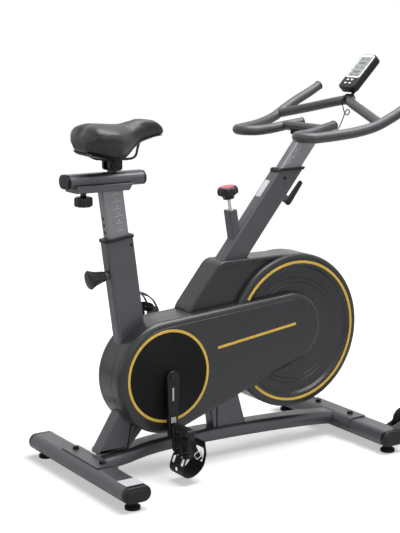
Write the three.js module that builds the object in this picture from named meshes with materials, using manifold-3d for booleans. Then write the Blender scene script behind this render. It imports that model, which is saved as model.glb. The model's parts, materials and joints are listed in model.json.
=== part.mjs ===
// Indoor spin bike: a belt-driven exercise bike with an enclosed flywheel, an adjustable saddle and
// handlebar, and a push-down brake. Millimetres. +X points to the front of the bike, +Y to the rider's
// left and +Z up, with the floor at z = 0. While it is built, x = 0 lies on the crank axle. The finished
// group is shifted so that its origin is the middle of the footprint.
import * as THREE from 'three';
import Module from 'manifold-3d';
import { mergeVertices } from 'three/addons/utils/BufferGeometryUtils.js';

const wasm = await Module();
wasm.setup();

// Driving dimensions

const FIT = 0.3; // gap left between pieces that touch
const DEG = Math.PI / 180;

const STEEL_WALL = 2.5;
const TUBE_WIDTH = 45; // all frame tubes, across the bike
const TUBE_CORNER = 9;
const LEG_EDGE = 8; // edge rounding of the rear leg and the middle strut

const FOOT_HEIGHT = 24;
const FOOT_RADIUS = 22.5;
const FOOT_PAD = 9;
const FOOT_NECK_RADIUS = 15;
const FOOT_STUD_RADIUS = 5;
const FOOT_STUD_REACH = 12;
const FOOT_INSET = 15; // from the end of the stabiliser tube to the foot's axis

const STABILISER_HEIGHT = 48;
const STABILISER_WIDTH = 88;
const STABILISER_LENGTH = 550;
const REAR_STABILISER_X = -230;
const FRONT_STABILISER_X = 682;
const END_CAP_LENGTH = 18;
const END_CAP_PLUG = 7;
const END_CAP_ROUNDING = 6;

const BRACKET_THICKNESS = 4;
const REAR_BRACKET_LENGTH = 216;
const FRONT_BRACKET_LENGTH = 244;
const BRACKET_BACK_REACH = 24; // how far a bracket's flat runs past the tube's middle
const BRACKET_LIP_ANGLE = 100; // degrees of the tube's round side that the lip covers

const BEAM_WIDTH = 80;
const BEAM_HEIGHT = 42;
const BEAM_CREST = 76; // height of the beam's centreline under the crank
const BEAM_REAR_HEIGHT = 49;
const BEAM_FRONT_HEIGHT = 53;

const CRANK_HEIGHT = 298.5;
const CRANK_LENGTH = 170;
const CRANK_ARM_THICKNESS = 16;
const CRANK_ARM_FACE = 90; // inner face of each arm, from the bike's middle plane
const CRANK_HUB_RADIUS = 21;
const CRANK_EYE_RADIUS = 14;
const AXLE_RADIUS = 9;
const SHELL_RADIUS = 24;
const SHELL_LENGTH = 70;

const FLYWHEEL_X = 471;
const FLYWHEEL_HEIGHT = 369;
const FLYWHEEL_RADIUS = 205;
const FLYWHEEL_THICKNESS = 22;
const FLYWHEEL_RIM = 55;
const FLYWHEEL_WEB = 8;
const FLYWHEEL_HUB_RADIUS = 30;
const FLYWHEEL_HUB_LENGTH = 34;
const FLYWHEEL_AXLE_RADIUS = 10;
const FORK_ROOT_X = 192;
const FORK_ROOT_HEIGHT = 352;
const FORK_ROOT_RADIUS = 34;
const FORK_TIP_RADIUS = 26;

const PULLEY_RADIUS = 118;
const SMALL_PULLEY_RADIUS = 30;
const IDLER_RADIUS = 16;
const IDLER_STUD_RADIUS = 5;
const IDLER_X = 205;
const BELT_WIDTH = 12;
const BELT_THICKNESS = 4;
const BELT_SEAT = 1; // from the pulleys' rims to the corners of the belt's faceted inside
const BELT_PLANE = -63;
const PULLEY_WIDTH = 14;
const PULLEY_WEB = 5;

const SEAM_PLANE = -8; // where the left and right covers meet
const COVER_WALL = 3;
const COVER_FILLET = 18;
const BELT_COVER_FACE = -79;
const BELT_COVER_MARGIN = 50; // of the cover's large round end, from the big pulley's rim
const BELT_COVER_X = 4;
const BELT_COVER_DROP = 6.5; // middle of the large round end, below the crank
const COVER_NOSE_RADIUS = 109;
const COVER_NOSE_BACK = 21; // middle of the small round end, behind and above the flywheel's axle
const COVER_NOSE_RISE = 15;
const LEFT_COVER_FACE = 58;
const LEFT_COVER_FILLET = 18;
const LEFT_BOSS_FACE = 74;
const LEFT_BOSS_RADIUS = 128;
const LEFT_BOSS_FILLET = 10;
const RIM_RADIUS = 240;
const RIM_FACE = 61;
const RIM_FILLET = 12;
const RECESS_RADIUS = 201;
const RECESS_FACE = 50;
const WING_FACE = 45;
const WING_TOP = 609;
const WING_MARGIN = 18; // how far the wing reaches past the head tube's rear side
const AXLE_WINDOW_RADIUS = 42;

const CRANK_RING_RADIUS = 133.5;
const FLYWHEEL_RING_RADIUS = 215;
const RING_WIDTH = 8;
const RING_THICKNESS = 2;

const SEAT_TILT = -7.8;
const SEAT_AXIS_X = -69.3; // where the seat tube's axis passes the height of the crank
const SEAT_TUBE_DEPTH = 89;
const SEAT_TUBE_TOP = 405; // along the tube, from the height of the crank
const SEAT_TUBE_BOTTOM = -45;
const SEAT_POST_DEPTH = 68;
const POST_WIDTH = 36;
const SEAT_POST_BOTTOM = 215;
const SEAT_POST_TOP_HEIGHT = 842;
const POST_CORNER = 8;
const COLLAR_HEIGHT = 8;
const COLLAR_MARGIN = 3.5;
const COLLAR_SLEEVE = 60;

const PIN_ALONG = 309; // the pin's place along the seat tube
const PIN_RADIUS = 5;
const PIN_HOLE_RADIUS = 6.2;
const PIN_PITCH = 20;
const PIN_HOLES = 7;
const PIN_BITE = 4;
const PIN_BOSS_RADIUS = 13;
const PIN_BOSS_LENGTH = 12;
const PIN_KNOB_RADIUS = 28;
const PIN_KNOB_LENGTH = 52;

const SLIDER_WIDTH = 60;
const SLIDER_HEIGHT = 40;
const SLIDER_REAR = -290;
const SLIDER_FRONT = -40;
const SLIDER_MIDDLE_HEIGHT = 873;
const CHANNEL_REAR = -266;
const CHANNEL_FRONT = -88;
const CHANNEL_WIDTH = 70;
const CHANNEL_LIP = 20;
const KNOB_X = -229;
const KNOB_RADIUS = 26;
const KNOB_HEIGHT = 28;
const KNOB_DROP = 14; // from the channel's underside to the knob's top
const KNOB_STUD_RADIUS = 5;
const KNOB_STUD_REACH = 16;
const SLIDER_TRAVEL = 40;
const SLOT_WIDTH = 14;

const CLAMP_X = -136.5;
const CLAMP_PIVOT_HEIGHT = 912;
const CLAMP_LENGTH = 42;
const CLAMP_WIDTH = 46;
const CLAMP_HEIGHT = 20;
const CLAMP_EYE_RADIUS = 12;
const CLAMP_EYE_WIDTH = 22;
const CLAMP_BOLT_RADIUS = 4;
const RAIL_RADIUS = 3.5;
const RAIL_SPREAD = 22;

const SADDLE_REAR = -244;
const SADDLE_NOSE = 30;
const SADDLE_HALF_WIDTH = 92;
const SADDLE_CHANNEL_DEPTH = 4;
const SADDLE_CHANNEL_WIDTH = 14;
const SADDLE_POCKET_REAR = 44; // the pocket in the base that the rails run in, from the rear
const SADDLE_POCKET_LENGTH = 130;
const SADDLE_POCKET_WIDTH = 64;
const SADDLE_POCKET_RISE = 12; // above the rails

const HEAD_TILT = 39;
const HEAD_AXIS_X = 375; // where the head tube's axis passes the reference height
const HEAD_REFERENCE_HEIGHT = 740;
const HEAD_TUBE_DEPTH = 75;
const HEAD_TUBE_TOP_HEIGHT = 861;
const HEAD_TUBE_BOTTOM = -572;
const HEAD_POST_DEPTH = 61;
const HEAD_POST_BOTTOM = -20;
const HEAD_POST_SHOWN = 105; // height of the post's top over the head tube's
const HEAD_POST_TOP_HEIGHT = HEAD_TUBE_TOP_HEIGHT + HEAD_POST_SHOWN;

const LEVER_ALONG = 84;
const LEVER_BOSS_RADIUS = 12;
const LEVER_BOSS_LENGTH = 16;
const LEVER_STUD_RADIUS = 5;
const LEVER_HUB_RADIUS = 11;
const LEVER_HUB_LENGTH = 20;
const LEVER_LENGTH = 70;
const LEVER_THICKNESS = 11;
const LEVER_TIP_RADIUS = 7;

const GRIP_RADIUS = 14.5;
const GRIP_WALL = 2.5;
const BRACE_BACK = 27.01; // from the post's axis at its top to the brace
const BRACE_RISE = 22;
const BRACE_HALF_LENGTH = 90;
// The handlebar's points are measured from the middle of the brace.
const BAR_STUB = [59, 78, 8];
const BAR_INNER_LEG = [[9, 90, 0], [-41, 102, -9], [-83, 107, -13]];
const BAR_LOOP_MIDDLE = [-79, 154, -14];
const BAR_LOOP_RADIUS = 46;
const BAR_OUTER_LEG = [[-75, 201, -12], [-26, 214, -7], [29, 232, 2], [79, 248, 16]];
const BAR_HORN = [[124, 258, 37], [176, 262, 63], [229, 262, 88], [266, 262, 108]];
const CROSSBAR_SIDE = [[95, 250, 23], [129, 140, 47], [161, 34, 71]];
const CROSSBAR_APEX = [181, 0, 78];
const MOUNT_BACK = 27; // the mount block's reach behind and in front of the brace's middle
const MOUNT_FRONT = 49;
const MOUNT_WIDTH = 58;

const BRAKE_TILT = -9.5;
const BRAKE_AXIS_X = 266;
const BRAKE_AXIS_HEIGHT = 750;
const BRAKE_HOUSING_DEPTH = 28;
const BRAKE_HOUSING_WIDTH = 38;
const BRAKE_HOUSING_TOP = 4;
const BRAKE_HOUSING_LENGTH = 120;
const BRAKE_ROD_RADIUS = 5;
const BRAKE_ROD_TOP = 50;
const BRAKE_KNOB_RADIUS = 32;
const BRAKE_KNOB_HEIGHT = 32;
const BRAKE_KNOB_NECK = 12;
const PAD_GAP = 5;
const PAD_LENGTH = 46;
const PAD_WIDTH = 26;
const PAD_THICKNESS = 16;

const CONSOLE_TILT = 45;
const CONSOLE_WIDTH = 74;
const CONSOLE_LENGTH = 140;
const CONSOLE_THICKNESS = 27;
const CONSOLE_CORNER = 14;
const CONSOLE_PIVOT_REACH = 21; // from the crossbar's middle to the pin that the console tilts on
const CONSOLE_PIVOT_RISE = 29;
const CONSOLE_PIVOT_DEPTH = 9; // behind the console's back
const CONSOLE_PIVOT_INSET = 22; // from the console's lower edge
const STALK_RADIUS = 5;
const CLIP_WALL = 3;
const CLIP_WIDTH = 20;
const GLAND_RADIUS = 3.2; // where the wire leaves the clip
const GLAND_LENGTH = 5.7;
const GLAND_RISE = 5;
const BUTTON_SIZE = [9, 6];
const BUTTON_TRAVEL = 1.2;
const BUTTON_STAND = 2;
const BUTTON_POCKET = 5;
const BUTTON_SPACING = [14, 20];
const BUTTON_ROW_INSET = 17;

const WHEEL_X = 766;
const WHEEL_HEIGHT = 83;
const WHEEL_INSET = 40; // from the end of the stabiliser tube to the wheel's middle
const WHEEL_Y = STABILISER_LENGTH / 2 - WHEEL_INSET;
const WHEEL_RADIUS = 38;
const WHEEL_WIDTH = 22;
const WHEEL_PIN_RADIUS = 5;
const EAR_THICKNESS = 4;
const EAR_GAP = 2;
const EAR_RADIUS = 11;
const EAR_ROOT_RADIUS = 15;

const PEDAL_WIDTH = 92;
const PEDAL_THICKNESS = 22;
const PEDAL_REAR = 38;
const PEDAL_FRONT = 45;
const PEDAL_INNER_GAP = 4;
const LEFT_PEDAL_TILT = -45; // as it hangs at rest; the right one hangs straight
const SPINDLE_RADIUS = 6;
const SPINDLE_CLEARANCE = 0.5;
const CAGE_WIDTH = 72;
const CAGE_WALL = 3.5;
const CAGE_REACH = 62; // from the pedal's front edge to the cage's toe
const CAGE_LEAN = 0.42; // the toe's lean back under the tread
const CAGE_DEPTH = 52; // from the tread to the cage's outer wall

const WIRE_RADIUS = 1.6;
const WIRE_ROUTE = [
  [691.2, 0, 1071], [687.5, 0, 1071], [684.5, -0.5, 1057], [689, -1.5, 1037], [694, -2, 1025],
  [701, -3, 1018.5], [709, -4.5, 1023], [708.5, -6, 1032], [700, -7, 1035.5], [691, -8, 1029],
  [680, -10, 1007], [662, -12, 980], [640, -13, 963], [614, -14, 962], [590, -14, 974], [580.4, -14, 974],
];

const FRAME_PAINT = { color: 0x55575b, roughness: 0.55, metalness: 0.35 };
const POST_FINISH = { color: 0x8b8d90, roughness: 0.4, metalness: 0.7 };
const SHELL_PLASTIC = { color: 0x3b3c40, roughness: 0.6, metalness: 0 };
const BLACK_PLASTIC = { color: 0x18181a, roughness: 0.5, metalness: 0 };
const RUBBER = { color: 0x131314, roughness: 0.85, metalness: 0 };
const ACCENT = { color: 0xe6bf4c, roughness: 0.5, metalness: 0 };
const CAST_IRON = { color: 0x3c3c3e, roughness: 0.5, metalness: 0.8 };
const BRIGHT_STEEL = { color: 0xb4b6b8, roughness: 0.3, metalness: 0.9 };
const KNOB_PLASTIC = { color: 0x3a3a3d, roughness: 0.45, metalness: 0 };
const UPHOLSTERY = { color: 0x1c1d1f, roughness: 0.5, metalness: 0 };
const BUTTON_WHITE = { color: 0xe8e8e8, roughness: 0.4, metalness: 0 };

// Shapes

function circle(radius) {
  return new THREE.Shape().absarc(0, 0, radius, 0, Math.PI * 2, false);
}

function roundedRect(width, height, radius) {
  const x = width / 2 - radius;
  const y = height / 2 - radius;
  const shape = new THREE.Shape();
  shape.absarc(x, y, radius, 0, 90 * DEG, false);
  shape.absarc(-x, y, radius, 90 * DEG, 180 * DEG, false);
  shape.absarc(-x, -y, radius, 180 * DEG, 270 * DEG, false);
  shape.absarc(x, -y, radius, 270 * DEG, 360 * DEG, false);
  return shape;
}

function oval(width, height) {
  const x = (width - height) / 2;
  const shape = new THREE.Shape();
  shape.absarc(x, 0, height / 2, -90 * DEG, 90 * DEG, false);
  shape.absarc(-x, 0, height / 2, 90 * DEG, 270 * DEG, false);
  return shape;
}

function polygon(points) {
  return new THREE.Shape(points.map(([x, y]) => new THREE.Vector2(x, y)));
}

// Two circles joined by their outer tangents, as on a belt or a crank arm.
function wrapOutline(x1, y1, radius1, x2, y2, radius2) {
  const heading = Math.atan2(y2 - y1, x2 - x1);
  const spread = Math.acos((radius1 - radius2) / Math.hypot(x2 - x1, y2 - y1));
  const shape = new THREE.Shape();
  shape.absarc(x2, y2, radius2, heading - spread, heading + spread, false);
  shape.absarc(x1, y1, radius1, heading + spread, heading - spread + Math.PI * 2, false);
  return shape;
}

// Solids

function weld(geometry) {
  const bare = new THREE.BufferGeometry();
  bare.setAttribute('position', geometry.getAttribute('position').clone());
  if (geometry.index) {
    bare.setIndex(geometry.index.clone());
  }
  const merged = mergeVertices(bare, 1e-4);
  const kept = [];
  const index = merged.index.array;
  for (let i = 0; i < index.length; i += 3) {
    const [a, b, c] = [index[i], index[i + 1], index[i + 2]];
    if (a !== b && b !== c && c !== a) {
      kept.push(a, b, c);
    }
  }
  merged.setIndex(kept);
  return merged;
}

function solid(geometry, frame = new THREE.Matrix4()) {
  const mesh = weld(geometry.clone().applyMatrix4(frame));
  return new wasm.Manifold(new wasm.Mesh({
    numProp: 3,
    vertProperties: new Float32Array(mesh.getAttribute('position').array),
    triVerts: new Uint32Array(mesh.index.array),
  }));
}

function join(first, ...others) {
  return others.reduce((whole, other) => whole.add(other), first);
}

function cut(body, ...tools) {
  return tools.reduce((whole, tool) => whole.subtract(tool), body);
}

// Extrudes along +Z from 0 to the given length.
function extrusion(shape, length, smooth = 6, bevel = 0) {
  return new THREE.ExtrudeGeometry(shape, {
    depth: length - 2 * bevel,
    curveSegments: smooth,
    bevelEnabled: bevel > 0,
    bevelThickness: bevel,
    bevelSize: bevel,
    bevelOffset: -bevel,
    bevelSegments: Math.max(1, Math.round(bevel / 12)),
  }).translate(0, 0, bevel);
}

// Extrudes an outline drawn in the bike's XZ plane from one Y to another.
function sideways(shape, yLow, yHigh, smooth = 6, bevel = 0) {
  return extrusion(shape, yHigh - yLow, smooth, bevel).rotateX(90 * DEG).translate(0, yHigh, 0);
}

function block(xLow, xHigh, yLow, yHigh, zLow, zHigh) {
  const size = [xHigh - xLow, yHigh - yLow, zHigh - zLow];
  const middle = [(xLow + xHigh) / 2, (yLow + yHigh) / 2, (zLow + zHigh) / 2];
  return new THREE.BoxGeometry(...size).translate(...middle);
}

// A round bar along Y, centred on x and z.
function crossRod(radius, x, z, yLow, yHigh, sides = 20) {
  return new THREE.CylinderGeometry(radius, radius, yHigh - yLow, sides).translate(x, (yLow + yHigh) / 2, z);
}

// A round bar along Z, centred on x and y.
function uprightRod(radius, x, y, zLow, zHigh, sides = 20) {
  const bar = new THREE.CylinderGeometry(radius, radius, zHigh - zLow, sides).rotateX(90 * DEG);
  return bar.translate(x, y, (zLow + zHigh) / 2);
}

// A faceted bore whose flats still clear the round bar inside it.
function boreRadius(radius, gap, sides) {
  return (radius + gap) / Math.cos(Math.PI / sides);
}

// Turns a closed profile of [radius, height] points about an axis through the origin.
function turned(points, sides = 24) {
  return new THREE.LatheGeometry(points.map(([r, h]) => new THREE.Vector2(Math.max(r, 0), h)), sides);
}

function hoop(innerRadius, outerRadius, low, high, sides = 24) {
  return turned([[innerRadius, low], [outerRadius, low], [outerRadius, high], [innerRadius, high],
    [innerRadius, low]], sides);
}

// A curve whose steps follow its points instead of its length, so that bends with close points stay smooth.
class PointwiseCurve extends THREE.CatmullRomCurve3 {
  getPointAt(u, target) {
    return this.getPoint(u, target);
  }

  getTangentAt(u, target) {
    return this.getTangent(u, target);
  }

  getSpacedPoints(divisions) {
    return this.getPoints(divisions);
  }
}

// Sweeps a section through the points, with the given number of steps from each point to the next.
function sweep(section, points, stepsEach, smooth = 1) {
  const path = new PointwiseCurve(points.map((p) => new THREE.Vector3(...p)));
  return new THREE.ExtrudeGeometry(section, {
    steps: (points.length - 1) * stepsEach,
    extrudePath: path,
    bevelEnabled: false,
    curveSegments: smooth,
  });
}

function tubeAlong(points, radius, sides, stepsEach = 1) {
  const corners = [];
  for (let i = 0; i < sides; i += 1) {
    const angle = (2 * Math.PI * i) / sides;
    corners.push([radius * Math.cos(angle), radius * Math.sin(angle)]);
  }
  return sweep(polygon(corners), points, stepsEach);
}

function makeFrame(x, y, z, tilt) {
  const turn = new THREE.Matrix4().makeRotationY(tilt * DEG);
  return new THREE.Matrix4().makeTranslation(x, y, z).multiply(turn);
}

// The group and its pieces

const bike = new THREE.Group();

function subAssembly(frame) {
  const group = new THREE.Group();
  frame.decompose(group.position, group.quaternion, group.scale);
  group.userData.inverse = frame.clone().invert();
  bike.add(group);
  return group;
}

// Adds a solid that was worked out in the bike's own frame to a group, as a named mesh.
function addPiece(name, body, look, group = bike) {
  const result = body.getMesh();
  const geometry = new THREE.BufferGeometry();
  geometry.setAttribute('position', new THREE.BufferAttribute(new Float32Array(result.vertProperties), 3));
  geometry.setIndex(new THREE.BufferAttribute(new Uint32Array(result.triVerts), 1));
  if (group.userData.inverse) {
    geometry.applyMatrix4(group.userData.inverse);
  }
  const mesh = new THREE.Mesh(geometry, new THREE.MeshStandardMaterial(look));
  mesh.name = name;
  group.add(mesh);
}

const seatFrame = makeFrame(SEAT_AXIS_X, 0, CRANK_HEIGHT, SEAT_TILT);
const headFrame = makeFrame(HEAD_AXIS_X, 0, HEAD_REFERENCE_HEIGHT, HEAD_TILT);
const brakeFrame = makeFrame(BRAKE_AXIS_X, 0, BRAKE_AXIS_HEIGHT, BRAKE_TILT);
const seatGroup = subAssembly(seatFrame);
const headGroup = subAssembly(headFrame);
const brakeGroup = subAssembly(brakeFrame);
const crankGroup = subAssembly(makeFrame(0, 0, CRANK_HEIGHT, 0));
const flywheelGroup = subAssembly(makeFrame(FLYWHEEL_X, 0, FLYWHEEL_HEIGHT, 0));

// A long slab that fills everything above a height, for level cuts.
const FAR = 3000;

function above(height) {
  return solid(block(-FAR, FAR, -FAR, FAR, height, height + FAR));
}

// Frame tubes

const stabiliserMiddle = FOOT_HEIGHT + STABILISER_HEIGHT / 2;
const stabiliserTop = FOOT_HEIGHT + STABILISER_HEIGHT;
const halfStabiliser = STABILISER_LENGTH / 2;
const footY = halfStabiliser - FOOT_INSET;

function stabiliserVolume(x, growth, halfLength = halfStabiliser) {
  const outline = oval(STABILISER_WIDTH + 2 * growth, STABILISER_HEIGHT + 2 * growth);
  return solid(sideways(outline, -halfLength, halfLength, 3).translate(x, 0, stabiliserMiddle));
}

function footHole(x, y) {
  const radius = boreRadius(FOOT_STUD_RADIUS, FIT, 10);
  return solid(uprightRod(radius, x, y, FOOT_HEIGHT - 2, FOOT_HEIGHT + 2 * STEEL_WALL, 10));
}

function makeStabiliser(x) {
  const shell = cut(stabiliserVolume(x, 0), stabiliserVolume(x, -STEEL_WALL, halfStabiliser + 1));
  return cut(shell, footHole(x, footY), footHole(x, -footY));
}

// The bracket that is bolted over a stabiliser: a flat on top and a lip round one side.
function bracketBand(x, side, halfLength) {
  const inner = STABILISER_HEIGHT / 2 + FIT;
  const outer = inner + BRACKET_THICKNESS;
  const arcX = (STABILISER_WIDTH - STABILISER_HEIGHT) / 2;
  const end = (90 - BRACKET_LIP_ANGLE) * DEG;
  const outline = new THREE.Shape();
  outline.moveTo(-BRACKET_BACK_REACH, inner);
  outline.absarc(arcX, 0, inner, 90 * DEG, end, true);
  outline.absarc(arcX, 0, outer, end, 90 * DEG, false);
  outline.lineTo(-BRACKET_BACK_REACH, outer);
  const band = sideways(outline, -halfLength, halfLength, 3);
  if (side < 0) {
    band.rotateZ(180 * DEG);
  }
  return solid(band.translate(x, 0, stabiliserMiddle));
}

function beamCurve(xLow, xHigh) {
  return [
    [xLow, 0, BEAM_REAR_HEIGHT - 8], [-180, 0, BEAM_REAR_HEIGHT], [-110, 0, 59], [-45, 0, 70],
    [40, 0, BEAM_CREST], [180, 0, BEAM_CREST], [330, 0, 73], [480, 0, 67], [600, 0, 59],
    [xHigh, 0, BEAM_FRONT_HEIGHT],
  ];
}

function beamVolume(growth, reach) {
  const rear = REAR_STABILISER_X + STABILISER_WIDTH / 2 - 12 - reach;
  const front = FRONT_STABILISER_X - STABILISER_WIDTH / 2 + 12 + reach;
  const section = oval(BEAM_WIDTH + 2 * growth, BEAM_HEIGHT + 2 * growth);
  return solid(sweep(section, beamCurve(rear, front), 1, 3));
}

const beamOuter = beamVolume(0, 0);
const stabiliserEnvelopes = [REAR_STABILISER_X, FRONT_STABILISER_X].map((x) => stabiliserVolume(x, FIT));
const bottomBeam = cut(
  join(beamOuter, bracketBand(REAR_STABILISER_X, 1, REAR_BRACKET_LENGTH / 2),
    bracketBand(FRONT_STABILISER_X, -1, FRONT_BRACKET_LENGTH / 2)),
  beamVolume(-STEEL_WALL, 4),
  ...stabiliserEnvelopes,
);
const beamEnvelope = join(beamVolume(FIT, 0),
  solid(block(REAR_STABILISER_X - 60, REAR_STABILISER_X + 50, -FAR, FAR, 0,
    stabiliserTop + 2 * FIT + BRACKET_THICKNESS)));

const shellEnvelope = solid(crossRod(SHELL_RADIUS + FIT, 0, CRANK_HEIGHT, -SHELL_LENGTH, SHELL_LENGTH));

function headTubeVolume(growth, low = HEAD_TUBE_BOTTOM) {
  const depth = HEAD_TUBE_DEPTH + 2 * growth;
  const outline = roundedRect(depth, TUBE_WIDTH + 2 * growth, TUBE_CORNER + growth);
  return solid(extrusion(outline, 900, 1).translate(0, 0, low), headFrame);
}

function seatTubeVolume(growth, low = SEAT_TUBE_BOTTOM, high = SEAT_TUBE_TOP) {
  const depth = SEAT_TUBE_DEPTH + 2 * growth;
  const outline = roundedRect(depth, TUBE_WIDTH + 2 * growth, TUBE_CORNER + growth);
  return solid(extrusion(outline, high - low, 1).translate(0, 0, low), seatFrame);
}

// The rear leg and the middle strut are flat-sided box tubes, drawn from the side. Their edges are rounded
// outside and inside, and the space kept free for them has square edges.
function legEdge(growth) {
  return growth > 0 ? 0 : LEG_EDGE + growth;
}

function legVolume(growth, reach = 0) {
  const lean = 0.64;
  const rear = -208 - growth;
  const front = -103 + growth;
  const outline = polygon([
    [rear - lean * reach, 80 - reach], [front - lean * reach, 80 - reach], [-44 + growth, 143],
    [16 + growth, 203], [16 + growth, CRANK_HEIGHT + reach], [rear + 137, CRANK_HEIGHT + reach],
  ]);
  const half = TUBE_WIDTH / 2 + growth;
  return solid(sideways(outline, -half, half, 2, legEdge(growth)));
}

function strutVolume(growth, reach = 0) {
  const outline = polygon([
    [200 - growth, 60 - reach], [323 + growth, 60 - reach], [282 + growth, 202], [224 + growth, 392],
    [212 + growth, 450 + reach], [146 - growth, 450 + reach], [176 - growth, 202],
  ]);
  const half = TUBE_WIDTH / 2 + growth;
  return solid(sideways(outline, -half, half, 2, legEdge(growth)));
}

const headTubeEnvelope = headTubeVolume(FIT);
const legEnvelope = legVolume(FIT);

const rearLeg = cut(legVolume(0), legVolume(-STEEL_WALL, 8), beamEnvelope, headTubeEnvelope, shellEnvelope);
const midStrut = cut(strutVolume(0), strutVolume(-STEEL_WALL, 8), beamEnvelope, headTubeEnvelope);

const beltSpan = Math.hypot(FLYWHEEL_X, FLYWHEEL_HEIGHT - CRANK_HEIGHT);
const beltHeading = Math.atan2(FLYWHEEL_HEIGHT - CRANK_HEIGHT, FLYWHEEL_X);
const lowerRunTurn = Math.asin((PULLEY_RADIUS - SMALL_PULLEY_RADIUS) / beltSpan);
const lowerRunSlope = Math.tan(beltHeading + lowerRunTurn);
const beltOutside = PULLEY_RADIUS + BELT_SEAT + BELT_THICKNESS;
const lowerRunHeight = CRANK_HEIGHT + lowerRunSlope * IDLER_X
  - beltOutside / Math.cos(beltHeading + lowerRunTurn);
const idlerHeight = lowerRunHeight - (IDLER_RADIUS + FIT) / Math.cos(beltHeading + lowerRunTurn);
const pulleyNear = BELT_PLANE - PULLEY_WIDTH / 2;
const pulleyFar = BELT_PLANE + PULLEY_WIDTH / 2;
const idlerStud = join(
  solid(crossRod(IDLER_STUD_RADIUS, IDLER_X, idlerHeight, pulleyNear - 2, -TUBE_WIDTH / 2 + 1, 12)),
  solid(crossRod(IDLER_STUD_RADIUS + 5, IDLER_X, idlerHeight, pulleyFar + FIT, -TUBE_WIDTH / 2 + 1, 12)),
  solid(crossRod(IDLER_STUD_RADIUS + 5, IDLER_X, idlerHeight, pulleyNear - 4, pulleyNear - FIT, 12)),
);

addPiece('bottom_beam', bottomBeam, FRAME_PAINT);
addPiece('rear_leg', rearLeg, FRAME_PAINT);
addPiece('mid_strut', join(midStrut, idlerStud), FRAME_PAINT);

const shellBore = boreRadius(AXLE_RADIUS, FIT, 20);
const shell = hoop(shellBore, SHELL_RADIUS, -SHELL_LENGTH / 2, SHELL_LENGTH / 2, 20).translate(0, 0, CRANK_HEIGHT);
addPiece('bottom_bracket_shell', solid(shell), FRAME_PAINT, crankGroup);

// Seat tube, its threaded boss and the hole that the pull pin goes through
const pinRearFace = -SEAT_TUBE_DEPTH / 2;

function alongPin(geometry) {
  return solid(geometry.rotateZ(90 * DEG).translate(0, 0, PIN_ALONG), seatFrame);
}

function pinBar(radius, xLow, xHigh, sides = 12) {
  return alongPin(new THREE.CylinderGeometry(radius, radius, xHigh - xLow, sides)
    .translate(0, -(xLow + xHigh) / 2, 0));
}

const pinHoleRadius = boreRadius(PIN_RADIUS, FIT, 12);
const seatTube = cut(
  join(cut(seatTubeVolume(0), seatTubeVolume(-STEEL_WALL, SEAT_TUBE_BOTTOM - 5, SEAT_TUBE_TOP + 5)),
    pinBar(PIN_BOSS_RADIUS, pinRearFace - PIN_BOSS_LENGTH, pinRearFace + 1)),
  pinBar(pinHoleRadius, pinRearFace - PIN_BOSS_LENGTH - 1, pinRearFace + 2 * STEEL_WALL),
  legEnvelope, headTubeEnvelope, shellEnvelope,
);
addPiece('seat_tube', seatTube, FRAME_PAINT, seatGroup);

// Head tube: cut level at the top, with the lever's boss and holes for the brake rod
const headFrontFace = HEAD_TUBE_DEPTH / 2;

function leverBar(radius, xLow, xHigh, sides = 12) {
  const bar = new THREE.CylinderGeometry(radius, radius, xHigh - xLow, sides);
  return solid(bar.translate(0, -(xLow + xHigh) / 2, 0).rotateZ(90 * DEG).translate(0, 0, LEVER_ALONG),
    headFrame);
}

function brakeBar(radius, zLow, zHigh, sides = 12) {
  return solid(uprightRod(radius, 0, 0, zLow, zHigh, sides), brakeFrame);
}

const rodHole = boreRadius(BRAKE_ROD_RADIUS, 1, 12);
const brakeReach = 250;
const headTube = cut(
  join(cut(headTubeVolume(0), headTubeVolume(-STEEL_WALL, HEAD_TUBE_BOTTOM - 5)),
    leverBar(LEVER_BOSS_RADIUS, headFrontFace - 1, headFrontFace + LEVER_BOSS_LENGTH)),
  above(HEAD_TUBE_TOP_HEIGHT),
  leverBar(boreRadius(LEVER_STUD_RADIUS, FIT, 12), headFrontFace - 2 * STEEL_WALL,
    headFrontFace + LEVER_BOSS_LENGTH + 1),
  brakeBar(rodHole, -brakeReach, 0),
  shellEnvelope,
);
addPiece('head_tube', headTube, FRAME_PAINT, headGroup);

// Brake housing, welded to the head tube's rear side
function brakeBox(growth, low, high) {
  const outline = roundedRect(BRAKE_HOUSING_DEPTH + 2 * growth, BRAKE_HOUSING_WIDTH + 2 * growth, 6 + growth);
  return solid(extrusion(outline, high - low, 1).translate(0, 0, low), brakeFrame);
}

const brakeHousing = cut(
  brakeBox(0, -BRAKE_HOUSING_LENGTH, BRAKE_HOUSING_TOP),
  brakeBox(-STEEL_WALL, -BRAKE_HOUSING_LENGTH - 5, BRAKE_HOUSING_TOP - 6),
  headTubeVolume(FIT),
  brakeBar(boreRadius(BRAKE_ROD_RADIUS, FIT, 12), -10, BRAKE_HOUSING_TOP + 5),
);
addPiece('brake_housing', brakeHousing, FRAME_PAINT, brakeGroup);

// Stabilisers, end caps, feet and transport wheels

function wheelEar(y) {
  const rootX = FRONT_STABILISER_X + STABILISER_WIDTH / 2 - EAR_ROOT_RADIUS - 4;
  const outline = wrapOutline(rootX, stabiliserMiddle + 6, EAR_ROOT_RADIUS, WHEEL_X, WHEEL_HEIGHT, EAR_RADIUS);
  return solid(sideways(outline, y - EAR_THICKNESS / 2, y + EAR_THICKNESS / 2, 2));
}

function wheelFork(side) {
  const offset = WHEEL_WIDTH / 2 + EAR_GAP + EAR_THICKNESS / 2;
  const middle = side * WHEEL_Y;
  const pin = crossRod(WHEEL_PIN_RADIUS, WHEEL_X, WHEEL_HEIGHT, middle - offset, middle + offset, 12);
  return join(wheelEar(middle - offset), wheelEar(middle + offset), solid(pin));
}

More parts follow.
